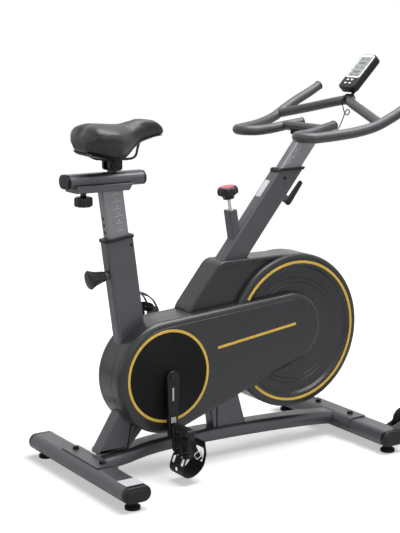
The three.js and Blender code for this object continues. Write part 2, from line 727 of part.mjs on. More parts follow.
const frontStabiliser = cut(
  join(stabiliserVolume(FRONT_STABILISER_X, 0), wheelFork(1), wheelFork(-1)),
  stabiliserVolume(FRONT_STABILISER_X, -STEEL_WALL, halfStabiliser + 1),
  footHole(FRONT_STABILISER_X, footY), footHole(FRONT_STABILISER_X, -footY),
);
addPiece('rear_stabiliser', makeStabiliser(REAR_STABILISER_X), FRAME_PAINT);
addPiece('front_stabiliser', frontStabiliser, FRAME_PAINT);

function makeEndCap(x, side) {
  const face = sideways(oval(STABILISER_WIDTH, STABILISER_HEIGHT), 0, END_CAP_LENGTH * 2, 3, END_CAP_ROUNDING)
    .translate(0, FIT - END_CAP_LENGTH, 0);
  const plugSize = -2 * (STEEL_WALL + FIT);
  const plug = sideways(oval(STABILISER_WIDTH + plugSize, STABILISER_HEIGHT + plugSize),
    -END_CAP_PLUG, FIT + 1, 3);
  const half = cut(solid(face), solid(block(-FAR, FAR, -FAR, FIT, -FAR, FAR)));
  const whole = join(half, solid(plug));
  const mesh = whole.getMesh();
  const geometry = new THREE.BufferGeometry();
  geometry.setAttribute('position', new THREE.BufferAttribute(new Float32Array(mesh.vertProperties), 3));
  geometry.setIndex(new THREE.BufferAttribute(new Uint32Array(mesh.triVerts), 1));
  if (side < 0) {
    geometry.rotateZ(180 * DEG);
  }
  return solid(geometry.translate(x, side * halfStabiliser, stabiliserMiddle));
}

const footProfile = [
  [0, 0], [FOOT_RADIUS - 1.5, 0], [FOOT_RADIUS, 1.5], [FOOT_RADIUS, FOOT_PAD], [FOOT_RADIUS - 4, FOOT_PAD + 2],
  [FOOT_NECK_RADIUS, FOOT_PAD + 3], [FOOT_NECK_RADIUS, FOOT_HEIGHT - FIT], [FOOT_STUD_RADIUS, FOOT_HEIGHT - FIT],
  [FOOT_STUD_RADIUS, FOOT_HEIGHT + FOOT_STUD_REACH], [0, FOOT_HEIGHT + FOOT_STUD_REACH],
];

for (const [end, x] of [['rear', REAR_STABILISER_X], ['front', FRONT_STABILISER_X]]) {
  for (const [hand, side] of [['left', 1], ['right', -1]]) {
    addPiece(`end_cap_${end}_${hand}`, makeEndCap(x, side), BLACK_PLASTIC);
    const foot = turned(footProfile, 10).rotateX(90 * DEG).translate(x, side * footY, 0);
    addPiece(`foot_${end}_${hand}`, solid(foot), RUBBER);
  }
}

const wheelBore = boreRadius(WHEEL_PIN_RADIUS, FIT, 14);
const wheelHalf = WHEEL_WIDTH / 2;
for (const [hand, side] of [['left', 1], ['right', -1]]) {
  const wheelFrame = makeFrame(WHEEL_X, side * WHEEL_Y, WHEEL_HEIGHT, 0);
  const profile = [
    [wheelBore, -wheelHalf], [14, -wheelHalf], [18, 3 - wheelHalf], [29, 3 - wheelHalf],
    [WHEEL_RADIUS - 3, -wheelHalf], [WHEEL_RADIUS, 4 - wheelHalf], [WHEEL_RADIUS, wheelHalf - 4],
    [WHEEL_RADIUS - 3, wheelHalf], [29, wheelHalf - 3], [18, wheelHalf - 3], [14, wheelHalf],
    [wheelBore, wheelHalf], [wheelBore, -wheelHalf],
  ];
  addPiece(`transport_wheel_${hand}`, solid(turned(profile, 14), wheelFrame), BLACK_PLASTIC,
    subAssembly(wheelFrame));
}

// The fork's plates lie against the middle strut and reach forward to the flywheel's axle.
const forkInside = TUBE_WIDTH / 2 + FIT;
const forkPlate = 6;
const forkBossReach = 37;

function forkOutline(growth) {
  return wrapOutline(FORK_ROOT_X, FORK_ROOT_HEIGHT, FORK_ROOT_RADIUS + growth, FLYWHEEL_X, FLYWHEEL_HEIGHT,
    FORK_TIP_RADIUS + growth);
}

// Covers

function beltCoverOutline(growth) {
  return wrapOutline(BELT_COVER_X, CRANK_HEIGHT - BELT_COVER_DROP, PULLEY_RADIUS + BELT_COVER_MARGIN + growth,
    FLYWHEEL_X - COVER_NOSE_BACK, FLYWHEEL_HEIGHT + COVER_NOSE_RISE, COVER_NOSE_RADIUS + growth);
}

// One side's belt cover as a filleted slab, from its outer face to the plane of the seam.
function beltCoverSlab(growth, face, seam, fillet) {
  const depth = 2 * (seam - face);
  const yLow = Math.min(face, face + depth);
  const yHigh = Math.max(face, face + depth);
  const slab = solid(sideways(beltCoverOutline(growth), yLow, yHigh, 7, fillet));
  const beyond = face < seam ? block(-FAR, FAR, seam, FAR, -FAR, FAR) : block(-FAR, FAR, -FAR, seam, -FAR, FAR);
  return cut(slab, solid(beyond));
}

function rimDisc(radius, yLow, yHigh) {
  return solid(crossRod(radius, FLYWHEEL_X, FLYWHEEL_HEIGHT, yLow, yHigh, 32));
}

// The rim with its rounded edge and sunk face, turned about the flywheel's axis. The face is at +h.
function rimVolume() {
  const r = RIM_RADIUS;
  const f = RIM_FILLET;
  const step = RIM_FACE - RECESS_FACE;
  const edge = [0, 45, 90].map((a) => [r - f + f * Math.cos(a * DEG), RIM_FACE - f + f * Math.sin(a * DEG)]);
  const low = -SEAM_PLANE;
  return turned([[0, low], [r, low], ...edge, [RECESS_RADIUS + 3, RIM_FACE], [RECESS_RADIUS, RIM_FACE - 2],
    [RECESS_RADIUS - step / 2, RECESS_FACE], [0, RECESS_FACE]], 32);
}

const wingLean = Math.tan(HEAD_TILT * DEG);
const headRearAtReference = HEAD_AXIS_X - HEAD_TUBE_DEPTH / 2 / Math.cos(HEAD_TILT * DEG);

function headRearX(height) {
  return headRearAtReference - wingLean * (HEAD_REFERENCE_HEIGHT - height);
}

// The wing runs from the rim's top along the head tube down to the belt cover.
function wingOutline(inset) {
  const top = WING_TOP - inset;
  const rear = WING_MARGIN - inset / Math.cos(HEAD_TILT * DEG);
  const foot = 420;
  return polygon([
    [headRearX(top) - rear, top], [headRearX(foot) - rear, foot], [FLYWHEEL_X - 120, foot],
    [FLYWHEEL_X, FLYWHEEL_HEIGHT], [FLYWHEEL_X, top],
  ]);
}

function wingVolume(inset, yLow, yHigh) {
  return solid(sideways(wingOutline(inset), yLow, yHigh, 2));
}

const tubeCuts = [
  headTubeEnvelope, seatTubeVolume(FIT), legVolume(FIT), strutVolume(FIT), shellEnvelope,
  solid(sideways(forkOutline(FIT), -forkInside - forkPlate - FIT, forkInside + forkPlate + FIT, 3)),
];
const rightSeam = SEAM_PLANE;
const leftSeam = SEAM_PLANE + FIT;
const beltSlab = beltCoverSlab(0, BELT_COVER_FACE, rightSeam, COVER_FILLET);
const beltSlabGrown = beltCoverSlab(FIT, BELT_COVER_FACE - FIT, rightSeam, COVER_FILLET);
const beltHollow = beltCoverSlab(-COVER_WALL, BELT_COVER_FACE + COVER_WALL, rightSeam + 5,
  COVER_FILLET - COVER_WALL);

const crankWindow = solid(crossRod(SHELL_RADIUS + 2, 0, CRANK_HEIGHT, -FAR, FAR));
const beltCoverRight = cut(
  beltSlab, beltHollow,
  rimDisc(RIM_RADIUS + FIT, -RECESS_FACE - FIT, 20),
  crankWindow, ...tubeCuts,
);
addPiece('belt_cover_right', beltCoverRight, SHELL_PLASTIC);

function flywheelShell(side) {
  const seam = side < 0 ? rightSeam : leftSeam;
  const outward = side < 0 ? [-WING_FACE, seam] : [seam, WING_FACE];
  const inward = side < 0 ? [-WING_FACE + COVER_WALL, seam + 5] : [seam - 5, WING_FACE - COVER_WALL];
  const rim = rimVolume();
  if (side < 0) {
    rim.rotateX(180 * DEG);
  }
  const rimSolid = cut(solid(rim.translate(FLYWHEEL_X, 0, FLYWHEEL_HEIGHT)),
    solid(side < 0 ? block(-FAR, FAR, seam, FAR, -FAR, FAR) : block(-FAR, FAR, -FAR, seam, -FAR, FAR)));
  const filler = rimDisc(RIM_RADIUS, ...(side < 0 ? [-20, seam] : [seam, 20]));
  const beltPrism = solid(sideways(beltCoverOutline(FIT), -FAR, FAR, 7));
  const wing = cut(wingVolume(0, ...outward), beltPrism);
  const hollow = rimDisc(RIM_RADIUS - COVER_WALL,
    ...(side < 0 ? [-RECESS_FACE + COVER_WALL, seam + 5] : [seam - 5, RECESS_FACE - COVER_WALL]));
  return cut(join(rimSolid, filler, wing), hollow, wingVolume(COVER_WALL, ...inward), ...tubeCuts);
}

const beltFront = cut(beltSlabGrown, solid(block(-FAR, FAR, -RECESS_FACE, FAR, -FAR, FAR)));
const axleWindow = solid(crossRod(AXLE_WINDOW_RADIUS, FLYWHEEL_X, FLYWHEEL_HEIGHT, -RECESS_FACE - 5, 0));
addPiece('flywheel_cover_right', cut(flywheelShell(-1), beltFront, axleWindow), SHELL_PLASTIC);
addPiece('flywheel_cover_left', flywheelShell(1), SHELL_PLASTIC);

// The left side of the crank has a plainer cover with a raised round boss.
const leftBoss = sideways(circle(LEFT_BOSS_RADIUS), 0, LEFT_BOSS_FACE, 14, LEFT_BOSS_FILLET);
const leftBossHollow = crossRod(LEFT_BOSS_RADIUS - LEFT_BOSS_FILLET - 2, 0, CRANK_HEIGHT, leftSeam - 5,
  LEFT_BOSS_FACE - COVER_WALL, 24);
const beltCoverLeft = cut(
  join(beltCoverSlab(0, LEFT_COVER_FACE, leftSeam, LEFT_COVER_FILLET),
    solid(leftBoss.translate(0, 0, CRANK_HEIGHT))),
  beltCoverSlab(-COVER_WALL, LEFT_COVER_FACE - COVER_WALL, leftSeam - 5, LEFT_COVER_FILLET - COVER_WALL),
  solid(leftBossHollow),
  rimDisc(RIM_RADIUS + FIT, -FAR, FAR), crankWindow, ...tubeCuts,
);
addPiece('belt_cover_left', beltCoverLeft, SHELL_PLASTIC);

// Accent rings lie on the covers.
function accentRing(radius, x, z, face) {
  const ring = hoop(radius - RING_WIDTH / 2, radius + RING_WIDTH / 2, face - FIT - RING_THICKNESS, face - FIT, 32);
  return solid(ring.translate(x, 0, z));
}

addPiece('crank_ring_right', accentRing(CRANK_RING_RADIUS, 0, CRANK_HEIGHT, BELT_COVER_FACE), ACCENT, crankGroup);
addPiece('flywheel_ring_right',
  cut(accentRing(FLYWHEEL_RING_RADIUS, FLYWHEEL_X, FLYWHEEL_HEIGHT, -RIM_FACE), beltSlabGrown),
  ACCENT, flywheelGroup);

// Drive

const axleHalf = CRANK_ARM_FACE + CRANK_ARM_THICKNESS - 3;
addPiece('crank_axle', solid(crossRod(AXLE_RADIUS, 0, CRANK_HEIGHT, -axleHalf, axleHalf)), BRIGHT_STEEL, crankGroup);

function pulleyProfile(bore, hub, hubReach, rim, radius) {
  const w = PULLEY_WIDTH / 2;
  const web = PULLEY_WEB / 2;
  return [
    [bore, -w], [hub, -w], [hub, -web], [rim, -web], [rim, -w], [radius, -w], [radius, w], [rim, w],
    [rim, web], [hub, web], [hub, hubReach], [bore, hubReach], [bore, -w],
  ];
}

const axleBore = boreRadius(AXLE_RADIUS, FIT, 20);
const bigPulley = turned(pulleyProfile(axleBore, 24, 20, PULLEY_RADIUS - 10, PULLEY_RADIUS), 18);
addPiece('drive_pulley', solid(bigPulley.translate(0, BELT_PLANE, CRANK_HEIGHT)), BLACK_PLASTIC, crankGroup);

const smallBore = boreRadius(FLYWHEEL_AXLE_RADIUS, FIT, 20);
const smallPulley = hoop(smallBore, SMALL_PULLEY_RADIUS, -PULLEY_WIDTH / 2, PULLEY_WIDTH / 2, 20);
addPiece('flywheel_pulley', solid(smallPulley.translate(FLYWHEEL_X, BELT_PLANE, FLYWHEEL_HEIGHT)),
  CAST_IRON, flywheelGroup);

const idlerFrame = makeFrame(IDLER_X, BELT_PLANE, idlerHeight, 0);
const idler = hoop(boreRadius(IDLER_STUD_RADIUS, FIT, 16), IDLER_RADIUS, -PULLEY_WIDTH / 2, PULLEY_WIDTH / 2, 16);
addPiece('idler_pulley', solid(idler, idlerFrame), BLACK_PLASTIC, subAssembly(idlerFrame));

function beltLoop(growth) {
  return wrapOutline(0, CRANK_HEIGHT, PULLEY_RADIUS + growth, FLYWHEEL_X, FLYWHEEL_HEIGHT,
    SMALL_PULLEY_RADIUS + growth);
}

const belt = cut(
  solid(sideways(beltLoop(BELT_SEAT + BELT_THICKNESS), BELT_PLANE - BELT_WIDTH / 2, BELT_PLANE + BELT_WIDTH / 2, 8)),
  solid(sideways(beltLoop(BELT_SEAT), BELT_PLANE - BELT_WIDTH, BELT_PLANE + BELT_WIDTH, 8)),
);
addPiece('drive_belt', belt, RUBBER);

const web = FLYWHEEL_WEB / 2;
const rimHalf = FLYWHEEL_THICKNESS / 2;
const hubHalf = FLYWHEEL_HUB_LENGTH / 2;
const rimInside = FLYWHEEL_RADIUS - FLYWHEEL_RIM;
const flywheelProfile = [
  [smallBore, -hubHalf], [FLYWHEEL_HUB_RADIUS, -hubHalf], [FLYWHEEL_HUB_RADIUS, -web], [rimInside, -web],
  [rimInside, -rimHalf], [FLYWHEEL_RADIUS, -rimHalf], [FLYWHEEL_RADIUS, rimHalf], [rimInside, rimHalf],
  [rimInside, web], [FLYWHEEL_HUB_RADIUS, web], [FLYWHEEL_HUB_RADIUS, hubHalf], [smallBore, hubHalf],
  [smallBore, -hubHalf],
];
addPiece('flywheel', solid(turned(flywheelProfile, 20).translate(FLYWHEEL_X, 0, FLYWHEEL_HEIGHT)),
  CAST_IRON, flywheelGroup);

// The fork straddles the flywheel and carries its axle.
addPiece('flywheel_axle', solid(crossRod(FLYWHEEL_AXLE_RADIUS, FLYWHEEL_X, FLYWHEEL_HEIGHT, pulleyNear - 2,
  forkBossReach + 4)), BRIGHT_STEEL, flywheelGroup);

function forkSide(side) {
  const outline = forkOutline(0);
  const spanY = side < 0 ? [-forkInside - forkPlate, -forkInside] : [forkInside, forkInside + forkPlate];
  const boss = side < 0 ? [-forkBossReach, -forkInside] : [forkInside, forkBossReach];
  return cut(join(solid(sideways(outline, ...spanY, 3)),
    solid(crossRod(22, FLYWHEEL_X, FLYWHEEL_HEIGHT, ...boss, 16))),
  solid(crossRod(smallBore, FLYWHEEL_X, FLYWHEEL_HEIGHT, -60, 60)));
}

const forkBridge = solid(block(238, 252, -forkInside - 1, forkInside + 1, 330, 372));
addPiece('flywheel_fork', cut(join(forkSide(-1), forkSide(1), forkBridge), strutVolume(FIT)), FRAME_PAINT);

// Cranks and pedals

const armOuter = CRANK_ARM_FACE + CRANK_ARM_THICKNESS;
const spindleReach = armOuter + PEDAL_INNER_GAP + PEDAL_WIDTH - 6;

function makeCrankArm(side) {
  const pedalHeight = CRANK_HEIGHT + side * CRANK_LENGTH;
  const span = side < 0 ? [-armOuter, -CRANK_ARM_FACE] : [CRANK_ARM_FACE, armOuter];
  const outline = wrapOutline(0, CRANK_HEIGHT, CRANK_HUB_RADIUS, 0, pedalHeight, CRANK_EYE_RADIUS);
  const arm = solid(sideways(outline, ...span, 4, 3));
  const spindleSpan = side < 0 ? [-spindleReach, -armOuter + 2] : [armOuter - 2, spindleReach];
  const spindle = solid(crossRod(SPINDLE_RADIUS, 0, pedalHeight, ...spindleSpan, 16));
  const axleHole = solid(crossRod(axleBore, 0, CRANK_HEIGHT, -axleHalf - 1, axleHalf + 1));
  return cut(join(arm, spindle), axleHole);
}

addPiece('crank_arm_right', makeCrankArm(-1), BLACK_PLASTIC, crankGroup);
addPiece('crank_arm_left', makeCrankArm(1), BLACK_PLASTIC, crankGroup);

const pedalMiddle = armOuter + PEDAL_INNER_GAP + PEDAL_WIDTH / 2;

// A pedal in its own frame: the axle along Y, the tread facing +X and the toe end down.
function makePedal(frame) {
  const length = PEDAL_REAR + PEDAL_FRONT;
  const middle = (PEDAL_REAR - PEDAL_FRONT) / 2;
  const plate = extrusion(roundedRect(length, PEDAL_WIDTH, 12), PEDAL_THICKNESS, 2, 2)
    .rotateY(90 * DEG).translate(-PEDAL_THICKNESS / 2, 0, middle);
  const windows = [[15, PEDAL_REAR - 9], [-PEDAL_FRONT + 9, -15]].flatMap(([low, high]) => [-1, 1].map((side) => {
    const y = side * PEDAL_WIDTH / 4;
    return solid(block(-PEDAL_THICKNESS, PEDAL_THICKNESS, y - 15, y + 15, low, high), frame);
  }));
  const bore = boreRadius(SPINDLE_RADIUS, SPINDLE_CLEARANCE, 16);
  return cut(solid(plate, frame), ...windows, solid(crossRod(bore, 0, 0, -PEDAL_WIDTH, PEDAL_WIDTH, 16), frame));
}

// The toe cage is a bent plastic strap with slots, hung on the pedal's toe end.
function cageOutline() {
  const inner = PEDAL_THICKNESS / 2 + CAGE_DEPTH - CAGE_WALL;
  const toe = -PEDAL_FRONT - CAGE_REACH;
  const rootLow = -PEDAL_THICKNESS / 2 + 3;
  const bend = (inner - rootLow) / 2;
  const bendX = (inner + rootLow) / 2;
  const bendZ = toe + bend + CAGE_WALL;
  const outline = new THREE.Shape();
  outline.moveTo(rootLow, -PEDAL_FRONT - FIT);
  outline.lineTo(rootLow, bendZ);
  outline.absarc(bendX, bendZ, bend, 180 * DEG, 360 * DEG, false);
  outline.lineTo(inner - 6, -8);
  outline.lineTo(inner - 6 + CAGE_WALL, -6);
  outline.lineTo(inner + CAGE_WALL, bendZ);
  outline.absarc(bendX, bendZ, bend + CAGE_WALL, 360 * DEG, 180 * DEG, true);
  outline.lineTo(rootLow - CAGE_WALL, -PEDAL_FRONT - FIT);
  return polygon(outline.getPoints(4).map(({ x, y }) => [x + CAGE_LEAN * Math.min(0, y + PEDAL_FRONT), y]));
}

function makeCage(frame) {
  const half = CAGE_WIDTH / 2;
  const strap = solid(sideways(cageOutline(), -half, half, 4), frame);
  const foot = solid(block(-PEDAL_THICKNESS / 2, PEDAL_THICKNESS / 2 - 2, -half, half, -PEDAL_FRONT - FIT - 4,
    -PEDAL_FRONT - FIT), frame);
  const slots = [-1, 0, 1].map((step) => {
    const y = step * half * 0.64;
    const deep = -PEDAL_FRONT - CAGE_REACH;
    return solid(block(-40, 90, y - 7, y + 7, deep + 16, -PEDAL_FRONT - 14), frame);
  });
  return join(cut(strap, ...slots), foot);
}

for (const [hand, side] of [['left', 1], ['right', -1]]) {
  const pedalTilt = hand === 'left' ? LEFT_PEDAL_TILT : 0;
  const pedalFrame = makeFrame(0, side * pedalMiddle, CRANK_HEIGHT + side * CRANK_LENGTH, pedalTilt);
  const pedalGroup = subAssembly(pedalFrame);
  addPiece(`pedal_${hand}`, makePedal(pedalFrame), BLACK_PLASTIC, pedalGroup);
  addPiece(`toe_cage_${hand}`, makeCage(pedalFrame), BLACK_PLASTIC, pedalGroup);
}

// Seat post, its channel and the slider

const channelLow = SEAT_POST_TOP_HEIGHT;
const sliderLow = SLIDER_MIDDLE_HEIGHT - SLIDER_HEIGHT / 2;

function postSection(depth, growth) {
  return roundedRect(depth + 2 * growth, POST_WIDTH + 2 * growth, POST_CORNER + growth);
}

function seatPostVolume(growth, low, high) {
  return solid(extrusion(postSection(SEAT_POST_DEPTH, growth), high - low, 1).translate(0, 0, low), seatFrame);
}

function sliderVolume(growth, low = SLIDER_REAR, high = SLIDER_FRONT) {
  const outline = oval(SLIDER_WIDTH + 2 * growth, SLIDER_HEIGHT + 2 * growth);
  const bar = extrusion(outline, high - low, 4, growth === 0 ? 5 : 0);
  return solid(bar.rotateZ(90 * DEG).rotateY(90 * DEG)
    .translate(low, 0, SLIDER_MIDDLE_HEIGHT));
}

const knobHole = boreRadius(KNOB_STUD_RADIUS, FIT, 16);
const channel = cut(
  solid(block(CHANNEL_REAR, CHANNEL_FRONT, -CHANNEL_WIDTH / 2, CHANNEL_WIDTH / 2, channelLow,
    channelLow + CHANNEL_LIP)),
  sliderVolume(FIT, SLIDER_REAR - 50, SLIDER_FRONT + 50),
  solid(uprightRod(knobHole, KNOB_X, 0, channelLow - 1, sliderLow + 1, 16)),
);
const pinHoles = [];
for (let i = 0; i < PIN_HOLES; i += 1) {
  const offset = (i - (PIN_HOLES - 1) / 2) * PIN_PITCH;
  const hole = new THREE.CylinderGeometry(PIN_HOLE_RADIUS, PIN_HOLE_RADIUS, 3 * STEEL_WALL, 8)
    .rotateZ(90 * DEG).translate(-SEAT_POST_DEPTH / 2, 0, PIN_ALONG + offset);
  pinHoles.push(solid(hole, seatFrame));
}
const seatPostStem = cut(
  seatPostVolume(0, SEAT_POST_BOTTOM, 620),
  above(channelLow + 1), seatPostVolume(-STEEL_WALL, SEAT_POST_BOTTOM - 5, 540), ...pinHoles,
);
addPiece('seat_post', join(seatPostStem, channel), POST_FINISH, seatGroup);

const seatCollar = cut(
  join(
    solid(extrusion(roundedRect(SEAT_TUBE_DEPTH + 2 * COLLAR_MARGIN, TUBE_WIDTH + 2 * COLLAR_MARGIN,
      TUBE_CORNER + COLLAR_MARGIN), COLLAR_HEIGHT, 1).translate(0, 0, SEAT_TUBE_TOP + FIT), seatFrame),
    seatTubeVolume(-STEEL_WALL - FIT, SEAT_TUBE_TOP - COLLAR_SLEEVE, SEAT_TUBE_TOP + FIT + 1),
  ),
  seatPostVolume(FIT, 200, 700),
);
addPiece('seat_tube_collar', seatCollar, BLACK_PLASTIC, seatGroup);

const slotRear = KNOB_X - SLIDER_TRAVEL - KNOB_STUD_RADIUS - 2;
const slotFront = KNOB_X + SLIDER_TRAVEL + KNOB_STUD_RADIUS + 2;
const clampEye = join(
  solid(crossRod(CLAMP_EYE_RADIUS, CLAMP_X, CLAMP_PIVOT_HEIGHT, -CLAMP_EYE_WIDTH / 2, CLAMP_EYE_WIDTH / 2, 14)),
  solid(block(CLAMP_X - 10, CLAMP_X + 10, -CLAMP_EYE_WIDTH / 2, CLAMP_EYE_WIDTH / 2,
    SLIDER_MIDDLE_HEIGHT + SLIDER_HEIGHT / 2 - 1.5, CLAMP_PIVOT_HEIGHT)),
);
const slider = cut(
  join(cut(sliderVolume(0), sliderVolume(-STEEL_WALL, SLIDER_REAR + 8, SLIDER_FRONT - 8)), clampEye),
  solid(block(slotRear, slotFront, -SLOT_WIDTH / 2, SLOT_WIDTH / 2, sliderLow - 2, sliderLow + 2 * STEEL_WALL)),
  solid(crossRod(boreRadius(CLAMP_BOLT_RADIUS, FIT, 16), CLAMP_X, CLAMP_PIVOT_HEIGHT, -30, 30, 16)),
);
addPiece('seat_slider', slider, FRAME_PAINT);

const knobFrame = makeFrame(KNOB_X, 0, channelLow - KNOB_DROP, 0);
const knobProfile = [
  [0, -KNOB_HEIGHT], [KNOB_RADIUS - 5, -KNOB_HEIGHT], [KNOB_RADIUS, -KNOB_HEIGHT + 4], [KNOB_RADIUS, -4],
  [KNOB_RADIUS - 4, 0], [10, 0], [8, KNOB_DROP - FIT], [KNOB_STUD_RADIUS, KNOB_DROP - FIT],
  [KNOB_STUD_RADIUS, KNOB_DROP + KNOB_STUD_REACH], [0, KNOB_DROP + KNOB_STUD_REACH],
];
addPiece('slider_knob', solid(turned(knobProfile, 16).rotateX(90 * DEG), knobFrame), KNOB_PLASTIC,
  subAssembly(knobFrame));

const pinTip = -SEAT_POST_DEPTH / 2 + PIN_BITE;
const knobNear = pinRearFace - PIN_BOSS_LENGTH - FIT;
const pinKnob = new THREE.CylinderGeometry(PIN_KNOB_RADIUS, 15, PIN_KNOB_LENGTH - 8, 16)
  .translate(0, -knobNear + (PIN_KNOB_LENGTH - 8) / 2, 0);
const pinKnobCap = new THREE.CylinderGeometry(PIN_KNOB_RADIUS - 9, PIN_KNOB_RADIUS, 8, 16)
  .translate(0, -knobNear + PIN_KNOB_LENGTH - 4, 0);
addPiece('seat_pin', join(alongPin(pinKnob), alongPin(pinKnobCap), pinBar(PIN_RADIUS, knobNear - 10, pinTip)),
  KNOB_PLASTIC, seatGroup);

// Saddle clamp with its two rails

const clampLow = CLAMP_PIVOT_HEIGHT - CLAMP_EYE_RADIUS - 3;
const clampHigh = clampLow + CLAMP_HEIGHT + CLAMP_EYE_RADIUS + 6;
const railHeight = clampHigh - RAIL_RADIUS - 2;

function railPoints(side) {
  const y = side * RAIL_SPREAD;
  return [
    [SADDLE_REAR + 29, y * 2, railHeight + 48], [SADDLE_REAR + 40, y * 1.7, railHeight + 20],
    [SADDLE_REAR + 66, y, railHeight], [CLAMP_X, y, railHeight], [CLAMP_X + 60, y, railHeight + 4],
    [SADDLE_NOSE - 92, y * 0.8, railHeight + 34], [SADDLE_NOSE - 69, y * 0.55, railHeight + 84],
  ];
}

function makeRail(side) {
  return solid(tubeAlong(railPoints(side), RAIL_RADIUS, 6, 2));
}

const rails = [makeRail(-1), makeRail(1)];
const clampBody = cut(
  solid(extrusion(roundedRect(CLAMP_LENGTH, clampHigh - clampLow, 8), CLAMP_WIDTH, 1).rotateX(90 * DEG)
    .translate(CLAMP_X, CLAMP_WIDTH / 2, (clampLow + clampHigh) / 2)),
  solid(block(CLAMP_X - CLAMP_LENGTH, CLAMP_X + CLAMP_LENGTH, -CLAMP_EYE_WIDTH / 2 - 0.6, CLAMP_EYE_WIDTH / 2 + 0.6,
    clampLow - 1, CLAMP_PIVOT_HEIGHT + CLAMP_EYE_RADIUS + 2)),
);
const clampBolt = solid(crossRod(CLAMP_BOLT_RADIUS, CLAMP_X, CLAMP_PIVOT_HEIGHT, -CLAMP_WIDTH / 2 - 4,
  CLAMP_WIDTH / 2 + 4, 16));
addPiece('saddle_clamp', join(clampBody, clampBolt, ...rails), BRIGHT_STEEL);

// Saddle: a padded shell whose width, top and underside follow smooth curves along its length

function curveThrough(points) {
  const curve = new THREE.SplineCurve(points.map(([x, y]) => new THREE.Vector2(x, y)));
  const table = curve.getPoints(160);
  return (x) => {
    const i = Math.max(1, table.findIndex((p) => p.x >= x));
    const [a, b] = [table[i - 1], table[i]];
    return a.y + ((b.y - a.y) * (x - a.x)) / (b.x - a.x);
  };
}

const saddleLength = SADDLE_NOSE - SADDLE_REAR;
const saddleWidth = curveThrough([
  [0, 0.5], [0.03, 0.74], [0.1, 0.94], [0.2, 1], [0.32, 0.97], [0.45, 0.78], [0.58, 0.54], [0.72, 0.4],
  [0.86, 0.33], [0.95, 0.27], [1, 0.14],
]);
const saddleTop = curveThrough([
  [0, 990], [0.03, 1012], [0.13, 1028], [0.3, 1025], [0.47, 1022.5], [0.62, 1030], [0.74, 1038], [0.82, 1039.5],
  [0.9, 1033], [0.96, 1020], [1, 1002],
]);
const saddleBottom = curveThrough([
  [0, 958], [0.05, 946], [0.2, 934], [0.36, 926], [0.44, 928], [0.52, 938], [0.6, 956], [0.7, 972], [0.8, 980],
  [0.9, 986], [1, 989],
]);

function saddlePoint(along, turn) {
  const halfWidth = SADDLE_HALF_WIDTH * saddleWidth(along);
  const top = saddleTop(along);
  const bottom = saddleBottom(along);
  const side = Math.cos(turn);
  const rise = Math.sin(turn);
  const shoulder = top - (top - bottom) * 0.42;
  const drawIn = rise < 0 ? 1 - 0.16 * Math.sin(Math.PI * Math.min(1, -rise * 1.1)) - 0.1 * (-rise) ** 1.5 : 1;
  const y = halfWidth * drawIn * Math.sign(side) * Math.abs(side) ** 0.72;
  const reach = rise > 0 ? top - shoulder : shoulder - bottom;
  const crown = rise > 0 ? Math.abs(rise) ** 0.8 : Math.abs(rise) ** 0.55;
  const channel = rise > 0 ? SADDLE_CHANNEL_DEPTH * Math.exp(-((y / SADDLE_CHANNEL_WIDTH) ** 2)) : 0;
  const z = shoulder + Math.sign(rise) * reach * crown - channel;
  return [SADDLE_REAR + saddleLength * along, y, z];
}

function saddleSurface(stations, around) {
  const points = [];
  const index = [];
  for (let i = 0; i <= stations; i += 1) {
    const along = 0.5 - 0.5 * Math.cos((Math.PI * i) / stations);
    for (let j = 0; j < around; j += 1) {
      points.push(...saddlePoint(along, (2 * Math.PI * (j + 0.5)) / around));
    }
  }
  for (let i = 0; i < stations; i += 1) {
    for (let j = 0; j < around; j += 1) {
      const next = (j + 1) % around;
      const [a, b] = [i * around + j, i * around + next];
      const [c, d] = [a + around, b + around];
      index.push(a, b, c, b, d, c);
    }
  }
  for (const [ring, reversed] of [[0, true], [stations, false]]) {
    const start = ring * around;
    const middle = points.length / 3;
    const low = points.slice(start * 3, (start + around) * 3);
    const mean = [0, 1, 2].map((k) => low.filter((_, i) => i % 3 === k).reduce((s, v) => s + v, 0) / around);
    points.push(...mean);
    for (let j = 0; j < around; j += 1) {
      const next = (j + 1) % around;
      index.push(...(reversed ? [middle, start + next, start + j] : [middle, start + j, start + next]));
    }
  }
  const geometry = new THREE.BufferGeometry();
  geometry.setAttribute('position', new THREE.BufferAttribute(new Float32Array(points), 3));
  geometry.setIndex(index);
  return geometry;
}

// The socket for a rail in the saddle's base, with room at the rail's ends.
function railEnvelope(side) {
  const points = railPoints(side);
  const ends = [points[0], points[points.length - 1]].map(([x, y, z]) => (
    solid(new THREE.SphereGeometry(RAIL_RADIUS + 2.5, 6, 4).translate(x, y, z))
  ));
  return join(solid(tubeAlong(points, RAIL_RADIUS + 2 * FIT, 6, 2)), ...ends);
}

const clampEnvelope = solid(block(CLAMP_X - CLAMP_LENGTH / 2 - 4, CLAMP_X + CLAMP_LENGTH / 2 + 4,
  -CLAMP_WIDTH / 2 - 6, CLAMP_WIDTH / 2 + 6, clampLow, clampHigh + 2));
const pocketRear = SADDLE_REAR + SADDLE_POCKET_REAR;
const railPocket = solid(block(pocketRear, pocketRear + SADDLE_POCKET_LENGTH, -SADDLE_POCKET_WIDTH / 2,
  SADDLE_POCKET_WIDTH / 2, clampLow, railHeight + SADDLE_POCKET_RISE));
const saddleCuts = [railEnvelope(-1), railEnvelope(1), clampEnvelope, railPocket];
addPiece('saddle', cut(solid(saddleSurface(22, 20)), ...saddleCuts), UPHOLSTERY);

// Handlebar post, its collar and mount

function headPostVolume(growth, low, high) {
  return solid(extrusion(postSection(HEAD_POST_DEPTH, growth), high - low, 1).translate(0, 0, low), headFrame);
}

const braceX = HEAD_AXIS_X + (HEAD_POST_TOP_HEIGHT - HEAD_REFERENCE_HEIGHT) * Math.tan(HEAD_TILT * DEG) - BRACE_BACK;
const braceHeight = HEAD_POST_TOP_HEIGHT + BRACE_RISE;

